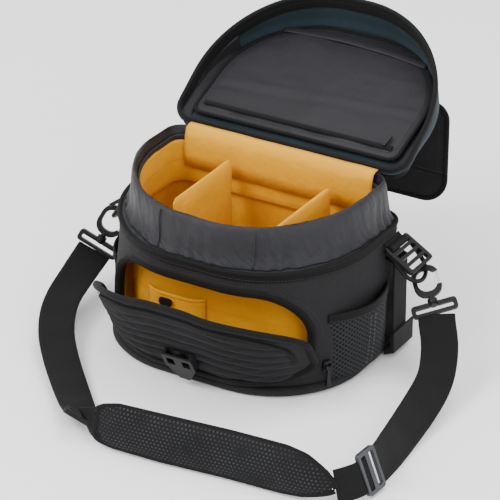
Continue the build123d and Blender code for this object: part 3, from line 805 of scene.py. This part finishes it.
def front_y(x, half, front, front_r):
    """Y of a plan's front at x."""
    flat = half - front_r
    if abs(x) <= flat:
        return front
    d = min(abs(x) - flat, front_r)
    return front + front_r - sqrt(max(front_r**2 - d**2, 0))


def body_front(x, z):
    t, full = belly(z)
    return front_y(x, 139.4 + full, -94.6 - full * 0.6, 100 + 18 * t)


def wall_inside(x):
    return front_y(x, 133, -88, 98)


def tub_outside(x):
    return front_y(x, 133, -56.5, 78)


def arch_line(half, low, high, top_r, low_r):
    """Outline of an upright arch as (x, z), from the bottom middle round by the right."""
    line = [(0, low), (half - low_r, low)]
    for k in range(1, 7):
        a = pi / 2 * k / 6
        line.append((half - low_r + low_r * sin(a), low + low_r - low_r * cos(a)))
    for k in range(17):
        a = pi / 2 * k / 16
        line.append((half - top_r + top_r * cos(a), high - top_r + top_r * sin(a)))
    line.append((0, high))
    return line + [(-x, z) for x, z in line[-2:0:-1]]


def upright(outline, step):
    """An (x, z) outline as points at y 0, an even step apart."""
    return resample([Vector((x, 0, z)) for x, z in outline], step, closed=True)


def side_name(sign):
    return "right" if sign > 0 else "left"


# ---------------------------------------------------------------- body

BASE_PLANS = (
    (135, -93, 88, 97, 22, 0.6),
    (140, -98, 93, 101, 26, 1.6),
    (142, -100, 95, 102, 27, 4.5),
    (142, -100, 95, 102, 27, 8),
    (139.5, -96, 92, 100, 26, 11),
)
base_loops = [plan(*sizes) for sizes in BASE_PLANS]
base = grid("base_cover", base_loops, SHELL, around=True, thickness=1.6, flip=True)
underside = [
    [Vector((p.x, p.y, 0.6 + 0.8 * (1 - s))) for p in shrunk(base_loops[0], s, -3)]
    for s in (1, *FAN)
]
grid("base_underside", underside, SHELL, around=True, thickness=1.6)
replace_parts(base, "base_panel")


def slump(p):
    """The front of the seam and collar settles lower than the back."""
    forward = clamp((30 - p.y) / 118) ** 1.3
    seam_drop = 7.0 * clamp((p.z - 124) / 17)
    collar_drop = 3.0 * clamp((p.z - 148) / 42)
    return Vector((p.x, p.y, p.z - forward * (seam_drop + collar_drop)))


def body_crumple(v):
    """Soft dents in the padded wall, growing away from the base and dying out at the seam."""
    t = clamp(v.z / WALL_HIGH)
    amount = 2.3 * sin(pi * min(1.0, t * 1.05)) + 0.2
    out = Vector((v.x, v.y, 0)).normalized()
    return slump(v) + out * (wobble(v, 52, amount) + wobble(v, 19, amount * 0.35, 3))


heights = [9, 14] + [20 + 5.5 * k for k in range(22)] + [141.5]
wall = grid(
    "body_cover", [body_plan(z) for z in heights], SHELL,
    around=True, thickness=5.5, shape=body_crumple, flip=True,
)


def prism(name, outline, y0, y1):
    """Closed block with an (x, z) outline between two Y, used to cut an opening."""
    verts = [(x, y, z) for y in (y0, y1) for x, z in outline]
    n = len(outline)
    faces = [tuple(range(n)), tuple(reversed(range(n, 2 * n)))]
    faces += [(k, k + n, (k + 1) % n + n, (k + 1) % n) for k in range(n)]
    mesh = bpy.data.meshes.new(name)
    mesh.from_pydata([Vector(v) * MM for v in verts], [], faces)
    return new_object(name, mesh)


cutter = prism("opening", arch_line(118, 27, 116, 54, 10), -160, -5)
modify(wall, "BOOLEAN", operation="DIFFERENCE", solver="EXACT", object=cutter)
bake(wall)
bpy.data.objects.remove(cutter)
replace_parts(wall, "body_wall")

# Bound zip edge of the pocket opening, folded over the wall's edge, and its stitching.
edge = [Vector((x, body_front(x, z), z)) for x, z in arch_line(115.5, 29.5, 113.5, 51.5, 8)]
edge = resample(edge, 4, closed=True)
edge = [Vector((p.x, body_front(p.x, p.z) + 4.2, p.z)) for p in edge]
inwards = [(Vector((0, p.y, 70)) - p).normalized() for p in edge]
opening_tape = tape("opening_binding", edge, inwards, 9.5, 9.5, BINDING, closed=True, power=3.2)
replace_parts(opening_tape, "pocket_binding")
sewn = upright(arch_line(123.5, 21.5, 121.5, 57, 12), 3)
sewn = [Vector((p.x, body_front(p.x, p.z) - 1.3, p.z)) for p in sewn]
stitches("opening_stitches", sewn, [Vector((p.x * 0.004, -1, 0)) for p in sewn])


def seam_loop(half, front, back, back_r, z):
    """A loop near the seam of wall and collar."""
    return [slump(p) for p in plan(half, front, back, 119, back_r, z)]


def outwards(loop):
    return [Vector((p.x, p.y * 1.2, 0)).normalized() for p in loop]


seam = seam_loop(140.6, -95.8, 92.6, 27, 142.6)
seam_tape = tape("seam_piping", seam, outwards(seam), 5.2, 4.0, BINDING, closed=True, power=2.4)
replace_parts(seam_tape, "seam_zip")
low_seam = seam_loop(140.9, -96.0, 92.9, 27, 136)
tape("seam_tape", low_seam, UP, 9, 1.6, BINDING, closed=True, power=4)
stitch_line = seam_loop(141.9, -97.0, 93.9, 28, 133.2)
stitches("seam_stitches", stitch_line, outwards(stitch_line))

# The collar's profile from its foot up the outside and down the inside: inset and height.
COLLAR_PROFILE = [
    (-1.0, 141.0), (-5.6, 143.0), (-4.8, 145.5), (-3.0, 148.5), (-1.4, 153), (-0.8, 161),
    (-0.5, 168), (-0.1, 176), (0.9, 183), (2.6, 188), (5.0, 189.6), (7.4, 188.6), (9.2, 185),
    (10.0, 178), (10.2, 168), (10.0, 156), (9.6, 146), (7.0, 143.5),
]


def collar_ring():
    """Padded collar: outside face, rolled top and inside face, gathered where it is sewn in."""
    shaped = []
    for inset, z in COLLAR_PROFILE:
        loop = plan(
            134.2 - inset, -88.8 + inset, 86 - inset, 121 - inset, 22 - inset * 0.8, z, 300
        )
        low = max(0.0, 1 - abs(z - 147) / 26)
        line = []
        for j, p in enumerate(loop):
            out = Vector((p.x, p.y * 1.15, 0)).normalized()
            if inset > 5:
                out = -out
            gather = 1.5 * low * sin(j * 0.9 + 2.2 * sin(j * 0.21))
            gather *= 0.6 + 0.4 * sin(j * 0.13)
            soft = wobble(p, 38, 1.9, 5) + wobble((p.x, p.y, p.z * 0.4), 14, 0.9, 8)
            lift = wobble(p, 60, 1.6, 2) * max(0, (z - 160) / 30)
            line.append(slump(p + out * (gather + soft - 1.2) + Vector((0, 0, lift))))
        shaped.append(line)
    shaped.append(shaped[0])
    return grid("collar_cover", shaped, COLLAR, around=True, flip=True)


collar = collar_ring()
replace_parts(collar, "collar")
ledge = [
    seam_loop(140 - inset, -94.5 + inset, 91.5 - inset, 24, 142.4)
    for inset in (0, 2.5, 5.5, 9, 12)
]
grid("collar_ledge", ledge, COLLAR, around=True, thickness=1.0)
# How far the collar's outside lies behind its plan, by height.
COLLAR_SET_BACK = [(140, -5.2), (149, -2.9), (155, -1.1), (170, -0.4), (180, 0.5), (190, 3.4)]
for x in (-46, 62):
    y = front_y(x, 134.2, -88.8, 121)
    line = [
        slump(Vector((x + wobble((x, 0, z), 20, 1.2), y + interpolate(COLLAR_SET_BACK, z), z)))
        for z in range(145, 189, 3)
    ]
    tape(f"collar_seam_{side_name(x)}", line, FORWARD, 1.4, 1.6, COLLAR, power=2)

# ---------------------------------------------------------------- yellow lining


def tub_plan(z):
    return plan(128.6, -49.6, 80.6, 70, 18, z)


def upper_plan(z, inset=0.0):
    return plan(122.8 - inset, -77.2 + inset, 74.2 - inset, 108, 14, z)


def lining_crumple(v):
    toward = -Vector((v.x, v.y, 0)).normalized()
    return slump(v) + toward * (wobble(v, 30, 1.2, 11) + wobble(v, 11, 0.4, 4))


lining_rows = [tub_plan(14.5)] + [tub_plan(z) for z in range(17, 120, 6)]
for t in (0.0, 0.3, 0.6, 0.85, 1.0):
    z = 121.5 + 5.5 * t
    lining_rows.append([a.lerp(b, t) for a, b in zip(tub_plan(z), upper_plan(z))])
lining_rows += [upper_plan(z) for z in range(131, 180, 5)]
lining = grid("main_lining", lining_rows, YELLOW, around=True, thickness=1.8, shape=lining_crumple)
floor_rows = [
    [
        Vector((q.x, q.y, 14.5 + wobble(p * s, 40, 1.2)))
        for p, q in zip(tub_plan(14.5), shrunk(tub_plan(14.5), s, 15))
    ]
    for s in (1, *FAN)
]
grid("main_lining_floor", floor_rows, YELLOW, around=True, thickness=1.8)
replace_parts(lining, "lining_tub", "lining_shelf", "lining_upper")
top_edge = [slump(p) for p in upper_plan(177.5, -0.4)]
tape("lining_top_edge", top_edge, UP, 6, 2.2, COLLAR, closed=True, power=3)
for z in (152, 132):
    row = [slump(p) for p in upper_plan(z, 0.6)]
    stitches(
        f"lining_stitches_{z}", row, [-Vector((p.x, p.y, 0)) for p in row],
        material=YELLOW_THREAD,
    )

# Fabric from the lining's back edge over the collar, as (y, z) across it.
STRIP_PROFILE = (
    (71.4, 146), (71.4, 160), (71.5, 172), (72.2, 180), (75.0, 188.5), (80.0, 190.4),
    (84.5, 190.4),
)
strip = [
    [Vector((x, y + wobble((x, 0, z), 22, 0.9, 91), z)) for x in range(-112, 113, 4)]
    for y, z in STRIP_PROFILE
]
grid("back_lining_strip", strip, YELLOW, thickness=1.0, flip=True)


def pocket_pair(t):
    """Matching points of the pocket: outer on the wall's inside, inner on the tub's outside."""
    outer = Vector((127 * t, wall_inside(127 * t) + 1.5, 0))
    return outer, Vector((124 * t, tub_outside(124 * t), 0))


def pocket_lining():
    """The pocket's roof, back and floor; each row is a share of the way back, and a height."""
    profile = [(0.0, 118.6), (0.5, 119.0), (0.93, 118.6), (1.0, 115)]
    profile += [(1.0, z) for z in range(108, 20, -8)]
    profile += [(1.0, 16), (0.95, 13.4), (0.5, 12.9), (0.0, 13.2)]
    rows = []
    for share, z in profile:
        row = []
        for k in range(81):
            outer, inner = pocket_pair(-1 + 2 * k / 80)
            p = outer.lerp(inner, share)
            p.z = z
            uneven = wobble(p, 26, 1.5, 21) + wobble(p, 10, 0.4, 2)
            p.y += uneven * (1 if share == 1.0 else 0.2) - 0.6
            row.append(p)
        rows.append(row)
    return grid("pocket_lining_cloth", rows, YELLOW, thickness=1.4, flip=True)


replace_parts(pocket_lining(), "pocket_lining")
for sign in (-1, 1):
    side_rows = []
    for z in range(13, 120, 7):
        along_wall = [
            Vector((sign * x, wall_inside(x) + 0.9 + wobble((x, 0, z), 18, 0.5, 23), z))
            for x in (116.5, 118.5, 120.5, 122.5, 124.5, 126)
        ]
        outer, inner = pocket_pair(sign)
        tip = [outer.lerp(inner, k / 4) + Vector((-sign * 0.8, 0, z)) for k in range(5)]
        side_rows.append(along_wall + tip)
    name = f"pocket_end_lining_{side_name(sign)}"
    grid(name, side_rows, YELLOW, thickness=0.9, flip=sign < 0)
seam_line = [
    Vector((x, tub_outside(x) - 2.3 + wobble((x, 0, 66), 26, 1.2, 21), 66))
    for x in range(-104, 105, 3)
]
stitches(
    "pocket_lining_stitches", seam_line, FORWARD, material=YELLOW_THREAD
)

# Inner sleeve of the front pocket: its middle, half its width, and its foot and top.
SLEEVE_X, SLEEVE_HALF, SLEEVE_LOW, SLEEVE_HIGH = -42, 34, 13, 72


def sleeve():
    rows = []
    for i in range(12):
        z = SLEEVE_LOW + (SLEEVE_HIGH - SLEEVE_LOW) * i / 11
        row = []
        for u in (-1 + 2 * j / 16 for j in range(17)):
            bulge = (1 - u**4) * (9 + 1.8 * sin(i * 0.5))
            y = -57.5 - bulge + wobble((u * SLEEVE_HALF, 0, z), 16, 0.7)
            row.append(Vector((SLEEVE_X + SLEEVE_HALF * u, y, z)))
        rows.append(row)
    return grid("pocket_sleeve_cloth", rows, YELLOW, thickness=1.2, flip=True)


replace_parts(sleeve(), "pocket_sleeve")
top_line = [
    Vector((SLEEVE_X + SLEEVE_HALF * u, -57.8 - (1 - u**4) * 8.5, SLEEVE_HIGH))
    for u in (-1 + 2 * j / 20 for j in range(21))
]
tape("sleeve_hem", top_line, UP, 4, 2.6, YELLOW, power=3)
soft_copy("sleeve_tab", "sleeve_pull_tab", BINDING, 0.6, 2, 0.1)


def divider(node, body, name):
    """Padded divider, blown up as cloth between its thinner sewn edges."""
    low, high = (Vector(c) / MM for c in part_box(node))
    middle = (low.x + high.x) / 2
    levels, count = 27, 25
    verts, faces, uvs = [], [], []
    for side in (1, -1):
        for i in range(levels):
            v = i / (levels - 1)
            z = low.z + 1 + (high.z - low.z - 2) * i / (levels - 1)
            front = (-49 if z > 128 else -38) + max(0, z - 170) ** 1.6 * 0.3
            back = high.y - 1 - max(0, z - 168) ** 1.6 * 0.25
            for j in range(count):
                u = j / (count - 1)
                rim = min(1.0, 7 * min(u, 1 - u) + 0.15, 7 * (1 - v) + 0.15, 9 * v + 0.3)
                bend = 2.0 * sin(pi * u) * sin(pi * v)
                p = Vector((middle, front + (back - front) * u, z))
                verts.append(p + Vector((side * 3.6 * sqrt(rim) + bend * 0.4, 0, 0)))
                uvs.append((p.y * MM, p.z * MM))
    offset = levels * count
    for i in range(levels - 1):
        for j in range(count - 1):
            a = i * count + j
            b = offset + a
            faces.append((a, a + 1, a + 1 + count, a + count))
            faces.append((b, b + count, b + 1 + count, b + 1))
    for i in range(levels - 1):
        a, b = i * count, i * count + count - 1
        faces.append((a, a + count, offset + a + count, offset + a))
        faces.append((b, offset + b, offset + b + count, b + count))
    last = (levels - 1) * count
    for j in range(count - 1):
        faces.append((j, offset + j, offset + j + 1, j + 1))
        faces.append((last + j, last + j + 1, offset + last + j + 1, offset + last + j))
    obj = make_piece(name, verts, faces, uvs, YELLOW, body)
    puff(obj, 1.6, voxel=4.0, pressure=4)
    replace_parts(obj, node)


divider("divider_left", "left_divider", "divider_pad_left")
divider("divider_right", "right_divider", "divider_pad_right")

# ---------------------------------------------------------------- mesh side pockets, side trim


def three_point(a, b, c, count):
    """Points on the circle through three plan points."""
    ax, ay, bx, by, cx, cy = *a, *b, *c
    a2, b2, c2 = ax**2 + ay**2, bx**2 + by**2, cx**2 + cy**2
    d = 2 * (ax * (by - cy) + bx * (cy - ay) + cx * (ay - by))
    x0 = (a2 * (by - cy) + b2 * (cy - ay) + c2 * (ay - by)) / d
    y0 = (a2 * (cx - bx) + b2 * (ax - cx) + c2 * (bx - ax)) / d
    r = hypot(ax - x0, ay - y0)
    start = atan2(ay - y0, ax - x0)
    turn = atan2(cy - y0, cx - x0) - start
    angles = [start + turn * k / count for k in range(count + 1)]
    return [(x0 + r * cos(angle), y0 + r * sin(angle)) for angle in angles]


NET_LOW, NET_HIGH = 9, 80
net_arc = three_point((126, -42), (151, 8), (139, 58), 40)


def tucked(z):
    """How far the net's middle is drawn in at a height."""
    return 4.95 * (1 - (z - NET_LOW) / (NET_HIGH - NET_LOW)) ** 2


for sign in (-1, 1):
    side = side_name(sign)
    rows = []
    for i in range(18):
        z = NET_LOW + (NET_HIGH - NET_LOW) * i / 17
        row = []
        for k, (x, y) in enumerate(net_arc):
            slack = (wobble((x, y, z), 22, 1.4, 31) - tucked(z)) * sin(pi * k / 40)
            row.append(Vector((sign * (x + slack), y, z)))
        rows.append(row)
    net = grid(f"mesh_pocket_{side}_cloth", rows, NET, thickness=1.0, flip=sign < 0)
    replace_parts(net, f"mesh_pocket_{side}")
    rim = [
        Vector((sign * (x + 0.3), y, 79.5 + 1.5 * abs(k / 20 - 1)))
        for k, (x, y) in enumerate(net_arc)
    ]
    band = tape(f"mesh_pocket_{side}_band", rim, UP, 9.5, 2.8, BINDING, power=4)
    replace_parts(band, f"mesh_band_{side}")
    row = [p + Vector((sign * 1.5, -0.2, -3)) for p in rim]
    stitches(f"mesh_pocket_{side}_stitches", row, Vector((sign, -0.3, 0)))
    for n, (x, y) in enumerate((net_arc[19], net_arc[22])):
        line = [Vector((sign * (x - tucked(z) + 0.9), y, z)) for z in range(14, 76, 2)]
        stitches(
            f"mesh_pocket_{side}_dots_{n}", line, Vector((sign, -0.2, 0)),
            material=GREY_PLASTIC, pitch=4.4, length=2.2, width=1.8,
        )
    soft_copy(f"side_web_{side}", f"side_strip_{side}", WEBBING, 0.9, 3, 0.25)
    soft_copy(f"side_patch_{side}", f"side_corner_{side}", SHELL, 1.0, 5, 0.4)
    soft_copy(f"ring_web_{side}", f"ring_tab_{side}", WEBBING, 0.9, 2, 0.15)

back_slip = soft_copy("back_panel", "back_slip_pocket", SHELL, 1.6, 8, 1.2, size=40)
soft_copy("lid_hinge_strip", "hinge_strip", SHELL, 0.8, 3, 0.2)

# ---------------------------------------------------------------- front pocket panel

PANEL_HALF, PANEL_HIGH = 124, 112
PANEL_TOP_R, PANEL_LOW_R = 62, 18
PANEL_Y, PANEL_Z, PANEL_TILT = -99, 14, -28
RIB_PITCH, RIB_DEPTH = 14, 4.2


def turned(pivot_y, pivot_z, tilt, p):
    """A point of a swung piece: its own x, y (to its back) and z, turned back by tilt."""
    c, s = cos(radians(tilt)), sin(radians(tilt))
    x, y, z = p
    return Vector((x, pivot_y + y * c + z * s, pivot_z - y * s + z * c))


def panel_place(x, z, outset):
    """A point of the panel's face at that height, standing off the body by outset."""
    y = front_y(x, 140 + outset, 4 - outset, 108 + outset)
    ends = clamp((abs(x) - 20) / 100) ** 1.3
    droop = (5 + 27 * ends) * (max(z, 0) / PANEL_HIGH) ** 0.7
    place = (x, y - 3.0 * ends * (z / PANEL_HIGH), z - droop)
    return turned(PANEL_Y, PANEL_Z, PANEL_TILT, place)


def panel_span(x):
    """Foot and top of the panel's face at x."""

    def corner(r):
        past = abs(x) - (PANEL_HALF - r)
        return r - sqrt(max(r**2 - past**2, 0)) if past > 0 else 0

    return corner(PANEL_LOW_R), PANEL_HIGH - corner(PANEL_TOP_R)


def rib(x, z):
    """Height of the moulded ribs, which bow with the panel's top edge."""
    depth = PANEL_HIGH - z - 24 * (abs(x) / PANEL_HALF) ** 2.2 - 12
    depth += wobble((x, 0, z), 55, 5, 88)
    edge = min(panel_span(x)[1] - z, (PANEL_HALF - abs(x)) * 0.9)
    if depth < 0 or edge < 9:
        return 0.0
    wave = 0.5 - 0.5 * cos(2 * pi * depth / RIB_PITCH)
    fade = min(1.0, depth / 3) * clamp((92 - depth) / 14) * min(1.0, (edge - 9) / 16)
    return RIB_DEPTH * wave**0.7 * fade


def panel_cloth():
    """The panel's ribbed face and its lining."""
    columns = [PANEL_HALF * sin(pi / 2 * (-1 + 2 * k / 150)) * 0.999 for k in range(151)]
    outer, inner = [], []
    for i in range(61):
        row_out, row_in = [], []
        for x in columns:
            low, high = panel_span(x)
            z = low + (high - low) * i / 60
            raised = rib(x, z) + wobble((x, 0, z), 30, 0.7, 41)
            row_out.append(panel_place(x, z, 5.0 + raised))
            z_in = min(z, high - 6) if high > 12 else z
            row_in.append(panel_place(x * 0.95, z_in, 2.8 + wobble((x, 0, z), 24, 0.5, 43)))
        outer.append(row_out)
        inner.append(row_in)
    face = grid("panel_face", outer, SHELL, "pocket_panel", thickness=2.0)
    grid("panel_lining", inner, YELLOW, "pocket_panel", thickness=1.2, offset=1.0)
    return face


panel = panel_cloth()
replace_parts(panel, "panel_shell")

outline = upright(arch_line(122.5, 1.5, 110.5, 61, 17), 3.5)
binding_dirs = []
for p in outline:
    inward = Vector((0, 0, 55)) - Vector((p.x * 0.75, 0, p.z))
    binding_dirs.append(turned(0, 0, PANEL_TILT, inward.normalized()).normalized())
panel_tape = tape(
    "panel_edge_binding", [panel_place(p.x, p.z, 4.6) for p in outline], binding_dirs,
    9.5, 6.6, BINDING, "pocket_panel", closed=True, power=3.0,
)
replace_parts(panel_tape, "panel_binding")


def over_arch(outline, step, lowest, outset):
    """The upper part of an arch on the panel's face, from left to right."""
    row = [p for p in upright(outline, step) if p.z > lowest]
    row.sort(key=lambda p: p.x)
    return [panel_place(p.x, p.z, outset) for p in row]


cover_line = over_arch(arch_line(112.5, 11, 100.5, 52, 12), 3.5, 30, 7.0)
tape(
    "panel_zip_cover", cover_line, turned(0, 0, PANEL_TILT, UP), 4.0, 3.4, BINDING,
    "pocket_panel", power=2.2,
)
for n, (inset, outset) in enumerate(((6.5, 7.5), (14.5, 5.2))):
    arch = arch_line(PANEL_HALF - inset, inset, PANEL_HIGH - inset, PANEL_TOP_R - inset, 12)
    row = over_arch(arch, 3, 24, outset)
    stitches(f"panel_stitches_{n}", row, turned(0, 0, PANEL_TILT, FORWARD), "pocket_panel")

# ---------------------------------------------------------------- lid

LID_Y, LID_Z, LID_OPEN = 88, 192, 159
LID_POINTS = 220  # round the lid's rim
PAD_POINTS = 200  # round the lid's padded lining


def lid_at(x, y, z):
    """A point of the lid, given as it lies when the lid is closed."""
    return turned(LID_Y, LID_Z, LID_OPEN, (x, y, z))


def lid_loop(inset, height):
    """Loop round the lid; height gives its z from its y."""
    sizes = (138.5 - inset, -181.5 + inset, -inset * 0.5, 126.5 - inset, max(20 - inset, 6))
    return [lid_at(p.x, p.y, height(p.y)) for p in plan(*sizes, 0, LID_POINTS)]


def rim_z(y):
    """The rim's height: the skirt is deeper at the hinge than at the front."""
    return 44 * y / 181.5


def between(low, high, t):
    return low + (high - low) * t


def lid_crumple(amount, seed):
    def move(v):
        sizes = ((45, seed), (45, seed + 4), (38, seed + 9))
        return v + Vector([wobble(v, size, amount, s) for size, s in sizes])

    return move


skirt = []
for t in (k / 10 for k in range(11)):
    bulge = 0.6 - 1.2 * sin(pi * t)
    skirt.append(lid_loop(bulge, lambda y: between(rim_z(y) + 5, 1.5, t)))
for inset, z in ((0.8, 4.0), (2.4, 6.0), (5.5, 7.0), (12, 7.8), (30, 8.2), (55, 8.4)):
    skirt.append(lid_loop(inset, lambda y: z))
crown = plan(83.5, -126.5, -28, 71.5, 6, 0, LID_POINTS)
for s in (0.75, 0.5, 0.25, 0.002):
    skirt.append([lid_at(p.x, p.y, 8.5 + (1 - s) * 0.4) for p in shrunk(crown, s, -90)])
lid_outer = grid(
    "lid_cover", skirt, LID, "lid", around=True, thickness=2.0,
    shape=lid_crumple(1.0, 51), flip=True,
)
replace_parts(lid_outer, "lid_shell")

lid_up, lid_back = (turned(0, 0, LID_OPEN, way) for way in ((0, 0, 1), (0, 1, 0)))
rim_path = lid_loop(1.0, lambda y: rim_z(y) + 2.4)
lid_edge = tape(
    "lid_edge_binding", rim_path, lid_up, 7.4, 5.4, BINDING, "lid", closed=True, power=2.8
)
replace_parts(lid_edge, "lid_binding")
inner_band = [lid_loop(3.4, lambda y: rim_z(y) + up) for up in (4, 8, 12, 15)]
grid("lid_zip_tape", inner_band, ZIP_TAPE, "lid", around=True, thickness=0.8)
facing_loops = [
    lid_loop(3.2 + 0.5 * (k % 2), lambda y: (rim_z(y) + 12) * (1 - k / 5) + 3.0 * k / 5)
    for k in range(6)
]
facing_loops += [lid_loop(inset, lambda y: z) for inset, z in ((6, 4.2), (11, 4.9), (17, 5.4))]
# The facing leaves out the hinge side of each loop.
facing = [[row[(k + 150) % LID_POINTS] for k in range(141)] for row in facing_loops]
grid("lid_side_facing", facing, LID_LINING, "lid", thickness=1.0, shape=lid_crumple(0.8, 57))


def pad_edge(inset, z):
    """Loop round the lid's padded lining."""
    sizes = (122 - inset, -174 + inset, -14 - inset, 98 - inset, 10)
    return [lid_at(p.x, p.y, z) for p in plan(*sizes, 0, PAD_POINTS)]


def fold(y, middle, half):
    return 1.6 * max(0.0, 1 - abs(y - middle) / half)


def lid_pad():
    """The lid's padded lining: a flat back, a rounded edge and a face with one lying fold."""
    back = plan(118, -170, -18, 94, 8, 0, PAD_POINTS)
    rows = [
        [lid_at(p.x, p.y, 5.6) for p in shrunk(back, s, -92)] for s in (0.001, 0.3, 0.6, 0.85, 1)
    ]
    rows += [pad_edge(1.0, 4.2), pad_edge(0.5, 2.0), pad_edge(2.5, 0.4), pad_edge(7, -0.3)]
    face = plan(117, -169, -19, 93, 8, 0, PAD_POINTS)
    for s in [0.96 - 0.06 * k for k in range(16)] + [0.001]:
        row = []
        for q in shrunk(face, s, -92):
            across = q.y + 0.08 * q.x
            lying = fold(across, -74, 7) - fold(across, -65, 6)
            uneven = wobble(q, 38, 1.3, 61) + wobble((q.x * 0.3, q.y, 0), 12, 0.7, 65)
            row.append(lid_at(q.x, q.y, -0.7 - lying * 0.8 + uneven))
        rows.append(row)
    return grid("lid_lining_pad", rows, LID_LINING, "lid", around=True)


lid_cushion = lid_pad()
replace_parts(lid_cushion, "lid_lining")
piping = pad_edge(0.0, 1.2)
tape("lid_lining_piping", piping, lid_up, 4.0, 4.0, BINDING, "lid", closed=True, power=2.2)
stitches("lid_lining_stitches", pad_edge(7, -0.9), -lid_up, "lid")
hem_line = [
    lid_at(x, -148 - 10 * cos(pi * x / 230) + 0.03 * x, -1.6 + wobble((x, 0, 0), 30, 0.5))
    for x in range(-84, 93, 4)
]
hem = tape("lid_pocket_hem", hem_line, lid_back, 7.5, 2.4, LID_LINING, "lid", power=2.6)
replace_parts(hem, "lid_pocket_band")
soft_copy("lid_pocket_zip", "lid_pocket_zip_tape", ZIP_TAPE, 0.8, 2, 0.1, "lid")
teeth = [lid_at(x, -27, -3.5) for x in range(-108, 109, 2)]
stitches(
    "lid_pocket_teeth", teeth, -lid_up, "lid", BLACK_PLASTIC, 2.2, 1.3, 2.6
)

# ---------------------------------------------------------------- weather flap

flap_low, flap_high = (Vector(c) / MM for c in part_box("weather_flap"))
edge_low, edge_high = (Vector(c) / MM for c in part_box("flap_edge"))
FLAP_Y = (flap_low.y + flap_high.y) / 2
FLAP_HALF, HINGE_R, END_R = 132.5, 16, 27
FLAP_FOOT = edge_low.z + 1.5


def narrowed(r, past):
    """Half the flap's width where a corner of radius r is past by that much."""
    return FLAP_HALF - r + sqrt(max(r**2 - past**2, 0))


def flap_rows(z_top, z_bottom, end):
    """Rows of the flap's upper part, or of its end with the two rounded corners."""
    rows = []
    for i in range(21):
        z = z_top + (z_bottom - z_top) * i / 20
        half = FLAP_HALF
        if end and z < z_bottom + END_R:
            half = narrowed(END_R, END_R - (z - z_bottom))
        if not end and z > z_top - HINGE_R:
            half = narrowed(HINGE_R, z - z_top + HINGE_R)
        free = min(1.0, (z_top - z) / 20 + 0.2)
        row = []
        for x in (half * (-1 + 2 * j / 80) for j in range(81)):
            row.append(Vector((x, FLAP_Y + wobble((x, 0, z), 48, 1.3, 71) * free, z)))
        rows.append(row)
    return rows


upper_rows = flap_rows(flap_high.z, flap_low.z, False)
upper = grid("flap_cloth", upper_rows, SHELL, "flap", thickness=2.6, offset=0)
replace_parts(upper, "weather_flap")
lower_rows = flap_rows(edge_high.z, FLAP_FOOT, True)
lower = grid("flap_edge_cloth", lower_rows, SHELL, "flap_end", thickness=2.6, offset=0)
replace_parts(lower, "flap_edge")
fold_z = (flap_low.z + edge_high.z) / 2
fold_rows = [
    [Vector((x, FLAP_Y + 1.1, fold_z + dz)) for x in range(-132, 133, 4)]
    for dz in (-4, -2.5, -1.2, 0, 1.2, 2.5, 4)
]
fold_tape = grid("flap_fold_tape", fold_rows, BINDING, None, thickness=0.9, offset=0)
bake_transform(fold_tape)
flap_foot, shoulder = int(flap_low.z) + 1, flap_high.z - HINGE_R
for sign in (1, -1):
    line = [
        Vector((sign * FLAP_HALF, FLAP_Y, z)) for z in range(flap_foot, int(flap_high.z) - 16, 3)
    ]
    for k in range(9):
        x = FLAP_HALF - HINGE_R + HINGE_R * cos(pi / 16 * k)
        line.append(Vector((sign * x, FLAP_Y, shoulder + HINGE_R * sin(pi / 16 * k))))
    inner = Vector((sign * 100, FLAP_Y, flap_high.z - 30))
    tape(
        f"flap_binding_{side_name(sign)}", line, [(p - inner).normalized() for p in line],
        6.5, 4.6, BINDING, "flap", power=3,
    )
    for face, which in ((1, "back"), (-1, "front")):
        row = [
            Vector((sign * 125, FLAP_Y + face * 1.6, z))
            for z in range(flap_foot, int(flap_high.z) - 14, 3)
        ]
        name = f"flap_stitches_{side_name(sign)}_{which}"
        stitches(name, row, Vector((0, face, 0)), "flap")
end_line = [(FLAP_HALF, edge_high.z)]
for a in (pi / 2 * k / 12 for k in range(13)):
    end_line.append((FLAP_HALF - END_R + END_R * cos(a), FLAP_FOOT + END_R - END_R * sin(a)))
end_line += [(-x, z) for x, z in end_line[::-1]]
end_path = resample([Vector((x, FLAP_Y, z)) for x, z in end_line], 3.5)
end_dirs = [(Vector((0, FLAP_Y, edge_high.z + 30)) - p).normalized() for p in end_path]
tape("flap_end_binding", end_path, end_dirs, 6.5, 4.6, BINDING, "flap_end", power=3)
cross = [Vector((x, FLAP_Y - 1.7, edge_high.z - 3)) for x in range(-124, 125, 3)]
stitches("flap_seam_front", cross, FORWARD, "flap_end")
soft_copy("buckle_web", "buckle_tape", WEBBING, 0.8, 2, 0.12, "buckle_strap")

# ---------------------------------------------------------------- hardware

HARDWARE = (
    (
        BLACK_PLASTIC, "buckle_receiver", "buckle_prongs", "ring_left", "ring_right",
        "hook_left", "hook_right", "hook_frame_left", "hook_frame_right", "strap_adjuster",
    ),
    (GREY_PLASTIC, "strap_glide"),
    (ZIP_METAL, "pocket_slider", "pocket_puller", "main_slider", "main_puller", "lid_puller"),
    (STEEL, "gate_left", "gate_right"),
)
for material, *names in HARDWARE:  # hard pieces keep the frame's shape
    for name in names:
        obj = frame_node(name)
        dress(obj.data, material)
